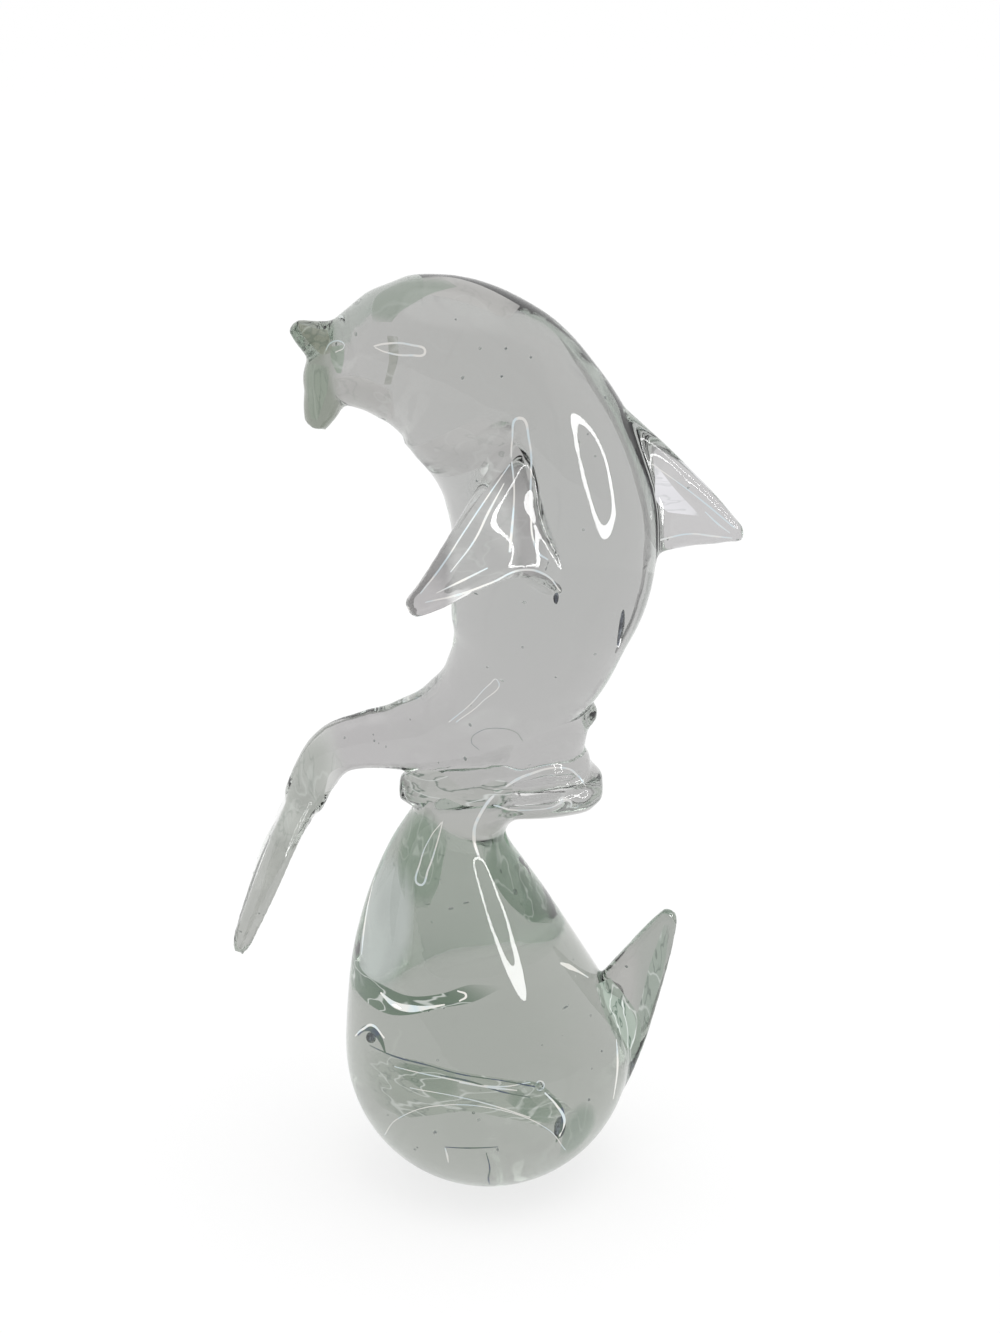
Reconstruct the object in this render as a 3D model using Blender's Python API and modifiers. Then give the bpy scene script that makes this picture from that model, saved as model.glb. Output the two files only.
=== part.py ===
"""Leaping dolphin on a drop-shaped wave base: a solid figurine of clear hot-worked glass.

Everything was fused while the glass was hot, so the figurine is one solid: the base with its pulled
wave crest, the squashed collar on its neck, and the dolphin with its lips, fins and tail flukes.
Metres, +Z up. The origin is the centre of the ground face that it stands on, and the dolphin's
middle plane is XZ, with its beak towards -X and its back towards +X.
"""

import math

import bmesh
import bpy
from mathutils import Matrix, Vector

# Base: a ball that draws in to a neck and flares out again under the collar
BASE_RADIUS = 0.0312
REST_FACE_RADIUS = 0.0135
# Stations above the ball: (height, radius, how far the section is pushed along x)
BASE_SHOULDER = [
    (0.0350, 0.0301, -0.0009),
    (0.0416, 0.0281, -0.0024),
    (0.0474, 0.0261, -0.0038),
    (0.0532, 0.0239, -0.0050),
    (0.0590, 0.0215, -0.0060),
    (0.0648, 0.0189, -0.0069),
    (0.0705, 0.0160, -0.0077),
    (0.0761, 0.0130, -0.0082),
    (0.0795, 0.0115, -0.0078),
    (0.0825, 0.0112, -0.0062),
    (0.0850, 0.0117, -0.0042),
    (0.0875, 0.0125, -0.0028),
    (0.0900, 0.0122, -0.0016),
    (0.0918, 0.0104, -0.0010),
]

# Collar squashed out under the dolphin, from its thin left lip to its round right lobe: (x, z, diameter)
COLLAR = [
    (-0.0188, 0.0896, 0.0046),
    (-0.0158, 0.0895, 0.0070),
    (-0.0090, 0.0893, 0.0088),
    (0.0000, 0.0894, 0.0108),
    (0.0090, 0.0898, 0.0120),
    (0.0165, 0.0900, 0.0112),
    (0.0215, 0.0900, 0.0092),
    (0.0242, 0.0899, 0.0052),
]
COLLAR_WIDTH_RATIO = 1.85
# Folded shoulder of the collar, pressed up round the dolphin's belly
COLLAR_SHOULDER = [
    (-0.0165, 0.0915, 0.0040),
    (-0.0100, 0.0935, 0.0065),
    (-0.0030, 0.0948, 0.0078),
    (0.0050, 0.0956, 0.0084),
    (0.0130, 0.0966, 0.0086),
    (0.0185, 0.0958, 0.0066),
    (0.0208, 0.0944, 0.0040),
]
COLLAR_SHOULDER_WIDTH_RATIO = 2.4

# Wave crest pulled out of the base: rows of (inner x, inner z, outer x, outer z, thickness)
WAVE_CREST = [
    (0.0080, 0.0400, 0.0190, 0.0080, 0.0250),
    (0.0165, 0.0412, 0.0285, 0.0160, 0.0180),
    (0.0220, 0.0424, 0.0336, 0.0270, 0.0112),
    (0.0276, 0.0488, 0.0372, 0.0400, 0.0074),
    (0.0334, 0.0560, 0.0396, 0.0505, 0.0056),
    (0.0369, 0.0597, 0.0407, 0.0575, 0.0044),
]

# Dolphin's body from snout to tail stock: stations of (x, z, diameter)
BODY = [
    (-0.0328, 0.1806, 0.0120),
    (-0.0303, 0.1816, 0.0162),
    (-0.0239, 0.1834, 0.0242),
    (-0.0180, 0.1841, 0.0306),
    (-0.0122, 0.1835, 0.0352),
    (-0.0018, 0.1781, 0.0392),
    (0.0060, 0.1697, 0.0402),
    (0.0119, 0.1571, 0.0418),
    (0.0138, 0.1430, 0.0420),
    (0.0112, 0.1290, 0.0386),
    (0.0074, 0.1171, 0.0327),
    (0.0007, 0.1086, 0.0278),
    (-0.0085, 0.1036, 0.0208),
    (-0.0180, 0.1014, 0.0152),
    (-0.0255, 0.1004, 0.0124),
    (-0.0322, 0.0982, 0.0110),
    (-0.0365, 0.0925, 0.0098),
    (-0.0394, 0.0860, 0.0092),
]
BODY_WIDTH_RATIO = 0.93

# Where the body sits on the collar: a ball of (x, z, diameter), and the nub the pliers left on it
SEAT = (0.0096, 0.1030, 0.0226)
PLIER_NUB = (0.0198, 0.1066, 0.0066)

# Lips of the open beak: stations of (x, z, diameter)
UPPER_LIP = [
    (-0.0265, 0.1845, 0.0130),
    (-0.0315, 0.1864, 0.0100),
    (-0.0350, 0.1880, 0.0074),
    (-0.0376, 0.1895, 0.0048),
    (-0.0392, 0.1904, 0.0030),
]
LOWER_LIP = [
    (-0.0285, 0.1826, 0.0140),
    (-0.0312, 0.1800, 0.0122),
    (-0.0326, 0.1762, 0.0092),
    (-0.0339, 0.1722, 0.0070),
    (-0.0348, 0.1694, 0.0048),
]
LIP_WIDTH_RATIO = 1.15

# Fins, as rows of (leading edge x, y, z, trailing edge x, y, z, thickness) from root to tip
DORSAL_FIN = [
    (0.0160, 0.0, 0.1750, 0.0170, 0.0, 0.1330, 0.0180),
    (0.0245, 0.0, 0.1750, 0.0275, 0.0, 0.1390, 0.0130),
    (0.0330, 0.0, 0.1684, 0.0345, 0.0, 0.1422, 0.0086),
    (0.0402, 0.0, 0.1614, 0.0412, 0.0, 0.1437, 0.0064),
    (0.0464, 0.0, 0.1549, 0.0466, 0.0, 0.1443, 0.0054),
    (0.0510, 0.0, 0.1493, 0.0504, 0.0, 0.1448, 0.0048),
]
NEAR_FIN = [
    (0.0085, -0.0090, 0.1730, 0.0175, -0.0100, 0.1330, 0.0150),
    (0.0045, -0.0165, 0.1712, 0.0135, -0.0180, 0.1388, 0.0094),
    (-0.0020, -0.0225, 0.1638, 0.0065, -0.0240, 0.1455, 0.0062),
    (-0.0080, -0.0270, 0.1548, -0.0018, -0.0280, 0.1442, 0.0052),
    (-0.0128, -0.0300, 0.1478, -0.0091, -0.0306, 0.1415, 0.0048),
    (-0.0152, -0.0312, 0.1448, -0.0127, -0.0316, 0.1405, 0.0046),
]
# The far fin's rows are given on the near side and mirrored
FAR_FIN = [
    (0.0045, -0.0090, 0.1700, 0.0125, -0.0100, 0.1340, 0.0110),
    (0.0015, -0.0165, 0.1690, 0.0090, -0.0180, 0.1370, 0.0085),
    (-0.0010, -0.0230, 0.1610, 0.0060, -0.0245, 0.1345, 0.0060),
    (-0.0035, -0.0285, 0.1500, 0.0025, -0.0295, 0.1315, 0.0052),
    (-0.0052, -0.0320, 0.1405, -0.0008, -0.0328, 0.1290, 0.0048),
    (-0.0062, -0.0335, 0.1350, -0.0030, -0.0339, 0.1275, 0.0046),
]
# How blunt the rims of the fins are, and how much thinner they are in the middle
FIN_FULLNESS = 0.6
FIN_DISH = 0.35
NEAR_FLUKE = [
    (-0.0364, 0.0000, 0.0926, -0.0408, 0.0000, 0.0824, 0.0090),
    (-0.0391, -0.0055, 0.0883, -0.0441, -0.0015, 0.0767, 0.0082),
    (-0.0422, -0.0115, 0.0830, -0.0472, -0.0065, 0.0716, 0.0076),
    (-0.0453, -0.0160, 0.0764, -0.0495, -0.0120, 0.0668, 0.0070),
    (-0.0483, -0.0192, 0.0701, -0.0511, -0.0168, 0.0635, 0.0062),
    (-0.0503, -0.0209, 0.0654, -0.0521, -0.0197, 0.0616, 0.0054),
]
# The far fluke is the near one mirrored, then turned about the tail's end
TAIL_END = (-0.0386, 0.0, 0.0875)
FAR_FLUKE_ROLL = math.radians(-8)
FAR_FLUKE_YAW = math.radians(-5)

# How fine the fused surface is, and how far the joints flow into each other
VOXEL = 0.0008
FLOW_STEPS = 9
TRIANGLES = 11600
RING_POINTS = 28
ROWS_BETWEEN = 5
NAME = "dolphin_figurine"


def clear_scene():
    for obj in list(bpy.data.objects):
        bpy.data.objects.remove(obj)


def new_object(name, data):
    obj = bpy.data.objects.new(name, data)
    bpy.context.scene.collection.objects.link(obj)
    return obj


def evaluated_mesh(obj):
    """The mesh that obj makes with its modifiers, in world space. obj is removed."""
    bpy.context.view_layer.update()
    graph = bpy.context.evaluated_depsgraph_get()
    mesh = bpy.data.meshes.new_from_object(obj.evaluated_get(graph))
    mesh.transform(obj.matrix_world)
    bpy.data.objects.remove(obj)
    return mesh


def limb(name, stations, width_ratio):
    """A round limb whose thickness varies along a smooth path in the middle plane."""
    curve = bpy.data.curves.new(name, "CURVE")
    curve.dimensions = "3D"
    curve.bevel_depth = 1.0
    curve.bevel_resolution = 22
    curve.resolution_u = 10
    curve.use_fill_caps = True
    spline = curve.splines.new("BEZIER")
    spline.radius_interpolation = "CARDINAL"
    spline.bezier_points.add(len(stations) - 1)
    for point, (x, z, diameter) in zip(spline.bezier_points, stations):
        point.co = (x, 0.0, z)
        point.radius = diameter / 2
        point.handle_left_type = "AUTO"
        point.handle_right_type = "AUTO"
    obj = new_object(name, curve)
    obj.scale.y = width_ratio
    return evaluated_mesh(obj)


def ball(name, x, y, z, size):
    """An ellipsoid of diameters size at (x, y, z)."""
    bm = bmesh.new()
    place = Matrix.Translation((x, y, z)) @ Matrix.Diagonal((*size, 1.0))
    bmesh.ops.create_uvsphere(bm, u_segments=24, v_segments=16, radius=0.5, matrix=place)
    mesh = bpy.data.meshes.new(name)
    bm.to_mesh(mesh)
    bm.free()
    return mesh


def between(rows, index, share):
    """The row at share of the way from rows[index] to the next, on a Catmull-Rom curve."""
    last = len(rows) - 1
    before = rows[max(index - 1, 0)]
    start = rows[index]
    end = rows[min(index + 1, last)]
    after = rows[min(index + 2, last)]
    smooth = []
    for a, b, c, d in zip(before, start, end, after):
        slope_b = (c - a) / 2
        slope_c = (d - b) / 2
        s2 = share * share
        s3 = s2 * share
        value = (2 * s3 - 3 * s2 + 1) * b + (s3 - 2 * s2 + share) * slope_b
        smooth.append(value + (3 * s2 - 2 * s3) * c + (s3 - s2) * slope_c)
    return smooth


def refined(rows):
    """The rows with ROWS_BETWEEN - 1 more between each two of them."""
    fine = []
    for index in range(len(rows) - 1):
        fine += [between(rows, index, step / ROWS_BETWEEN) for step in range(ROWS_BETWEEN)]
    fine.append(list(rows[-1]))
    return fine


def fin(name, rows):
    """A flat fin from root to tip, with a round rim and slightly dished faces."""
    sections = []
    for row in refined(rows):
        lead = Vector(row[0:3])
        trail = Vector(row[3:6])
        sections.append([(lead + trail) / 2, (lead - trail) / 2, row[6] / 2])
    # The tip is rounded off by sections that shrink on a quarter circle
    centre, half_chord, half_thick = sections[-1]
    outward = (centre - sections[-3][0]).normalized()
    for step in (1, 2, 3):
        turn = step * math.pi / 8
        shrink = math.cos(turn)
        past = centre + outward * math.sin(turn) * half_thick
        sections.append([past, half_chord * shrink, half_thick * shrink])
    bm = bmesh.new()
    rings = []
    for index, (centre, half_chord, half_thick) in enumerate(sections):
        ahead = sections[min(index + 1, len(sections) - 1)][0]
        behind = sections[max(index - 1, 0)][0]
        normal = half_chord.cross(ahead - behind).normalized()
        ring = []
        for point in range(RING_POINTS):
            turn = 2 * math.pi * point / RING_POINTS
            rise = abs(math.sin(turn)) ** FIN_FULLNESS
            rise *= 1 - FIN_DISH * math.sin(turn) ** 6
            along = half_chord * math.cos(turn)
            across = normal * math.copysign(half_thick * rise, math.sin(turn))
            ring.append(bm.verts.new(centre + along + across))
        rings.append(ring)
    for ring, following in zip(rings, rings[1:]):
        for point in range(RING_POINTS):
            after = (point + 1) % RING_POINTS
            bm.faces.new((ring[point], ring[after], following[after], following[point]))
    bm.faces.new(rings[0])
    bm.faces.new(reversed(rings[-1]))
    bmesh.ops.recalc_face_normals(bm, faces=bm.faces)
    mesh = bpy.data.meshes.new(name)
    bm.to_mesh(mesh)
    bm.free()
    return mesh


def ball_centre_height():
    return math.sqrt(BASE_RADIUS**2 - REST_FACE_RADIUS**2)


def base():
    """The drop-shaped base: a turned profile whose sections above the ball are pushed sideways."""
    centre = ball_centre_height()
    below = BASE_RADIUS * math.sin(math.radians(13))
    ball_edge = [(centre - below, BASE_RADIUS * math.cos(math.radians(13)), 0.0)]
    shoulder = refined(ball_edge + [(centre, BASE_RADIUS, 0.0)] + BASE_SHOULDER)
    shoulder = [row for row in shoulder if row[0] > centre + 0.0001]
    profile = [(0.0, shoulder[-1][0])]
    profile += [(radius, height) for height, radius, _ in reversed(shoulder)]
    steps = 24
    for step in range(steps):
        turn = math.pi / 2 * step / steps
        profile.append((BASE_RADIUS * math.cos(turn), centre - BASE_RADIUS * math.sin(turn)))
    profile.append((0.0, centre - BASE_RADIUS))
    mesh = bpy.data.meshes.new("base")
    edges = [(i, i + 1) for i in range(len(profile) - 1)]
    mesh.from_pydata([(r, 0.0, z) for r, z in profile], edges, [])
    obj = new_object("base", mesh)
    screw = obj.modifiers.new("Turn", "SCREW")
    screw.steps = 48
    screw.render_steps = 48
    screw.use_merge_vertices = True
    screw.merge_threshold = 0.00001
    turned = evaluated_mesh(obj)
    pushes = {round(height, 6): push for height, _, push in shoulder}
    for vertex in turned.vertices:
        vertex.co.x += pushes.get(round(vertex.co.z, 6), 0.0)
    return turned


def dolphin():
    """The body, beak, fins and flukes, all in their places."""
    meshes = [limb("body", BODY, BODY_WIDTH_RATIO)]
    meshes.append(limb("upper_lip", UPPER_LIP, LIP_WIDTH_RATIO))
    meshes.append(limb("lower_lip", LOWER_LIP, LIP_WIDTH_RATIO))
    for x, z, diameter in (SEAT, PLIER_NUB):
        meshes.append(ball("seat", x, 0.0, z, (diameter, diameter, diameter)))
    meshes.append(fin("dorsal_fin", DORSAL_FIN))
    meshes.append(fin("near_fin", NEAR_FIN))
    meshes.append(far_side(fin("far_fin", FAR_FIN), Matrix.Identity(4)))
    meshes.append(fin("near_fluke", NEAR_FLUKE))
    turn = Matrix.Rotation(FAR_FLUKE_YAW, 4, "Z") @ Matrix.Rotation(FAR_FLUKE_ROLL, 4, "X")
    tail_end = Matrix.Translation(TAIL_END)
    meshes.append(far_side(fin("far_fluke", NEAR_FLUKE), tail_end @ turn @ tail_end.inverted()))
    return meshes


def far_side(mesh, move):
    """The mirror image of a near-side shape, then moved."""
    mesh.transform(move @ Matrix.Diagonal((1, -1, 1, 1)))
    mesh.flip_normals()
    return mesh


def wave_crest():
    rows = [(x, 0.0, z, u, 0.0, w, thick) for x, z, u, w, thick in WAVE_CREST]
    return fin("wave_crest", rows)


def fused(meshes):
    """One closed skin round all the shapes, with the joints flowed together as hot glass does."""
    bm = bmesh.new()
    for mesh in meshes:
        bm.from_mesh(mesh)
        bpy.data.meshes.remove(mesh)
    whole = bpy.data.meshes.new("fused")
    bm.to_mesh(whole)
    bm.free()
    obj = new_object("fused", whole)
    remesh = obj.modifiers.new("Fuse", "REMESH")
    remesh.mode = "VOXEL"
    remesh.voxel_size = VOXEL
    flow = obj.modifiers.new("Flow", "SMOOTH")
    flow.factor = 0.5
    flow.iterations = FLOW_STEPS
    return evaluated_mesh(obj)


def thinned(mesh):
    """The same skin with TRIANGLES triangles, its rest face kept in the plane z = 0."""
    obj = new_object("thinned", mesh)
    faces = sum(len(p.vertices) - 2 for p in mesh.polygons)
    thin = obj.modifiers.new("Thin", "DECIMATE")
    thin.ratio = min(1.0, TRIANGLES / faces)
    light = evaluated_mesh(obj)
    for vertex in light.vertices:
        if vertex.co.z < 0.00002:
            vertex.co.z = 0.0
    return light


def ground_flat(mesh):
    """Grinds the underside to the flat rest face at z = 0."""
    bm = bmesh.new()
    bm.from_mesh(mesh)
    everything = list(bm.verts) + list(bm.edges) + list(bm.faces)
    cut = bmesh.ops.bisect_plane(
        bm, geom=everything, plane_co=(0, 0, 0), plane_no=(0, 0, 1), clear_inner=True
    )
    rim = [e for e in cut["geom_cut"] if isinstance(e, bmesh.types.BMEdge)]
    bmesh.ops.edgeloop_fill(bm, edges=rim)
    bmesh.ops.recalc_face_normals(bm, faces=bm.faces)
    bm.to_mesh(mesh)
    bm.free()
    return mesh


def clear_glass():
    material = bpy.data.materials.new("clear_glass")
    material.use_nodes = True
    shader = material.node_tree.nodes["Principled BSDF"]
    shader.inputs["Base Color"].default_value = (0.62, 0.65, 0.61, 1.0)
    shader.inputs["Roughness"].default_value = 0.02
    shader.inputs["Metallic"].default_value = 0.0
    shader.inputs["IOR"].default_value = 1.5
    shader.inputs["Transmission Weight"].default_value = 1.0
    return material


def main():
    clear_scene()
    collar = limb("collar", COLLAR, COLLAR_WIDTH_RATIO)
    shoulder = limb("collar_shoulder", COLLAR_SHOULDER, COLLAR_SHOULDER_WIDTH_RATIO)
    meshes = [base(), wave_crest(), collar, shoulder, *dolphin()]
    mesh = thinned(ground_flat(fused(meshes)))
    mesh.name = NAME
    mesh.materials.clear()
    mesh.materials.append(clear_glass())
    mesh.shade_smooth()
    figurine = bpy.data.objects.new(NAME, mesh)
    collection = bpy.data.collections.new(NAME)
    bpy.context.scene.collection.children.link(collection)
    collection.objects.link(figurine)


main()
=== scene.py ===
"""Looks of the leaping glass dolphin: clear hot-worked glass on a pale floor in soft studio light."""

import math

import bmesh
import bpy
from mathutils import Matrix, Vector


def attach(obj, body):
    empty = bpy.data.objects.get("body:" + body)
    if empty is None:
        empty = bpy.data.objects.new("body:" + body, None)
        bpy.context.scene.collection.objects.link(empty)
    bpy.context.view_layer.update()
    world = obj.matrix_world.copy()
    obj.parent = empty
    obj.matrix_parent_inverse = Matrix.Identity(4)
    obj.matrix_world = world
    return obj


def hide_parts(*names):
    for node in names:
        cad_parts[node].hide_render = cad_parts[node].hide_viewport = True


# Sizes of the figurine, in metres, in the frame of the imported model

BASE_RADIUS = 0.0312
BALL_EDGE_TURN = math.radians(13)
REST_FACE_RADIUS = 0.0135
BASE_SHOULDER = [
    (0.0350, 0.0301, -0.0009),
    (0.0416, 0.0281, -0.0024),
    (0.0474, 0.0261, -0.0038),
    (0.0532, 0.0239, -0.0050),
    (0.0590, 0.0215, -0.0060),
    (0.0648, 0.0189, -0.0069),
    (0.0705, 0.0160, -0.0077),
    (0.0761, 0.0130, -0.0082),
    (0.0795, 0.0115, -0.0078),
    (0.0825, 0.0112, -0.0062),
    (0.0850, 0.0117, -0.0042),
    (0.0875, 0.0125, -0.0028),
    (0.0900, 0.0122, -0.0016),
    (0.0918, 0.0104, -0.0010),
]
COLLAR = [
    (-0.0188, 0.0896, 0.0046),
    (-0.0158, 0.0895, 0.0070),
    (-0.0090, 0.0893, 0.0088),
    (0.0000, 0.0894, 0.0108),
    (0.0090, 0.0898, 0.0120),
    (0.0165, 0.0900, 0.0112),
    (0.0215, 0.0900, 0.0092),
    (0.0242, 0.0899, 0.0052),
]
WAVE_CREST = [
    (0.0080, 0.0400, 0.0190, 0.0080, 0.0250),
    (0.0165, 0.0412, 0.0285, 0.0160, 0.0180),
    (0.0220, 0.0424, 0.0336, 0.0270, 0.0112),
    (0.0276, 0.0488, 0.0372, 0.0400, 0.0074),
    (0.0334, 0.0560, 0.0396, 0.0505, 0.0056),
    (0.0369, 0.0597, 0.0407, 0.0575, 0.0044),
]
BODY = [
    (-0.0328, 0.1806, 0.0120),
    (-0.0303, 0.1816, 0.0162),
    (-0.0239, 0.1834, 0.0242),
    (-0.0180, 0.1841, 0.0306),
    (-0.0122, 0.1835, 0.0352),
    (-0.0018, 0.1781, 0.0392),
    (0.0060, 0.1697, 0.0402),
    (0.0119, 0.1571, 0.0418),
    (0.0138, 0.1430, 0.0420),
    (0.0112, 0.1290, 0.0386),
    (0.0074, 0.1171, 0.0327),
    (0.0007, 0.1086, 0.0278),
    (-0.0085, 0.1036, 0.0208),
    (-0.0180, 0.1014, 0.0152),
    (-0.0255, 0.1004, 0.0124),
    (-0.0322, 0.0982, 0.0110),
    (-0.0365, 0.0925, 0.0098),
    (-0.0394, 0.0860, 0.0092),
]
SEAT = (0.0096, 0.1030, 0.0226)
PLIER_NUB = (0.0198, 0.1066, 0.0066)
UPPER_LIP = [
    (-0.0265, 0.1845, 0.0130),
    (-0.0315, 0.1864, 0.0100),
    (-0.0350, 0.1880, 0.0074),
    (-0.0376, 0.1895, 0.0048),
    (-0.0392, 0.1904, 0.0030),
]
LOWER_LIP = [
    (-0.0285, 0.1826, 0.0140),
    (-0.0312, 0.1800, 0.0122),
    (-0.0326, 0.1762, 0.0092),
    (-0.0339, 0.1722, 0.0070),
    (-0.0348, 0.1694, 0.0048),
]
DORSAL_FIN = [
    (0.0160, 0.0, 0.1750, 0.0170, 0.0, 0.1330, 0.0180),
    (0.0245, 0.0, 0.1750, 0.0275, 0.0, 0.1390, 0.0130),
    (0.0330, 0.0, 0.1684, 0.0345, 0.0, 0.1422, 0.0086),
    (0.0402, 0.0, 0.1614, 0.0412, 0.0, 0.1437, 0.0064),
    (0.0464, 0.0, 0.1549, 0.0466, 0.0, 0.1443, 0.0054),
    (0.0510, 0.0, 0.1493, 0.0504, 0.0, 0.1448, 0.0048),
]
NEAR_FIN = [
    (0.0085, -0.0090, 0.1730, 0.0175, -0.0100, 0.1330, 0.0150),
    (0.0045, -0.0165, 0.1712, 0.0135, -0.0180, 0.1388, 0.0094),
    (-0.0020, -0.0225, 0.1638, 0.0065, -0.0240, 0.1455, 0.0062),
    (-0.0080, -0.0270, 0.1548, -0.0018, -0.0280, 0.1442, 0.0052),
    (-0.0128, -0.0300, 0.1478, -0.0091, -0.0306, 0.1415, 0.0048),
    (-0.0152, -0.0312, 0.1448, -0.0127, -0.0316, 0.1405, 0.0046),
]
FAR_FIN = [
    (0.0045, -0.0090, 0.1700, 0.0125, -0.0100, 0.1340, 0.0110),
    (0.0015, -0.0165, 0.1690, 0.0090, -0.0180, 0.1370, 0.0085),
    (-0.0010, -0.0230, 0.1610, 0.0060, -0.0245, 0.1345, 0.0060),
    (-0.0035, -0.0285, 0.1500, 0.0025, -0.0295, 0.1315, 0.0052),
    (-0.0052, -0.0320, 0.1405, -0.0008, -0.0328, 0.1290, 0.0048),
    (-0.0062, -0.0335, 0.1350, -0.0030, -0.0339, 0.1275, 0.0046),
]
NEAR_FLUKE = [
    (-0.0364, 0.0000, 0.0926, -0.0408, 0.0000, 0.0824, 0.0090),
    (-0.0391, -0.0055, 0.0883, -0.0441, -0.0015, 0.0767, 0.0082),
    (-0.0422, -0.0115, 0.0830, -0.0472, -0.0065, 0.0716, 0.0076),
    (-0.0453, -0.0160, 0.0764, -0.0495, -0.0120, 0.0668, 0.0070),
    (-0.0483, -0.0192, 0.0701, -0.0511, -0.0168, 0.0635, 0.0062),
    (-0.0503, -0.0209, 0.0654, -0.0521, -0.0197, 0.0616, 0.0054),
]
TAIL_END = (-0.0386, 0.0, 0.0875)
FAR_FLUKE_ROLL = math.radians(-8)
FAR_FLUKE_YAW = math.radians(-5)
BODY_WIDTH_RATIO = 0.93
COLLAR_WIDTH_RATIO = 1.85
LIP_WIDTH_RATIO = 1.15
FIN_FULLNESS = 0.6
FIN_DISH = 0.35

# Folds pressed into the collar: a raised shoulder, then ridges with a thickness at each point
COLLAR_SHOULDER = [
    (-0.0165, 0.0915, 0.0040),
    (-0.0100, 0.0935, 0.0065),
    (-0.0030, 0.0948, 0.0078),
    (0.0050, 0.0956, 0.0084),
    (0.0130, 0.0966, 0.0086),
    (0.0185, 0.0958, 0.0066),
    (0.0208, 0.0944, 0.0040),
]
COLLAR_SHOULDER_WIDTH_RATIO = 2.4
COLLAR_RIDGES = [
    [
        (0.0065, -0.0097, 0.0950, 0.0016),
        (0.0100, -0.0107, 0.0968, 0.0022),
        (0.0140, -0.0102, 0.0972, 0.0024),
        (0.0175, -0.0072, 0.0960, 0.0022),
        (0.0202, -0.0035, 0.0945, 0.0016),
    ],
    [
        (0.0030, -0.0108, 0.0903, 0.0014),
        (0.0070, -0.0117, 0.0908, 0.0020),
        (0.0120, -0.0117, 0.0912, 0.0020),
        (0.0175, -0.0095, 0.0915, 0.0014),
    ],
    [
        (-0.0150, -0.0052, 0.0912, 0.0014),
        (-0.0095, -0.0076, 0.0930, 0.0020),
        (-0.0045, -0.0092, 0.0936, 0.0020),
        (-0.0008, -0.0096, 0.0922, 0.0014),
    ],
]

# How much the painted crinkles of a sheet are drawn out along x, y and z: less than 1 is longer
EVEN = (0.6, 0.6, 1.0)
LEVEL = (0.35, 0.6, 1.5)
UPRIGHT = (1.6, 1.0, 0.3)
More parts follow.
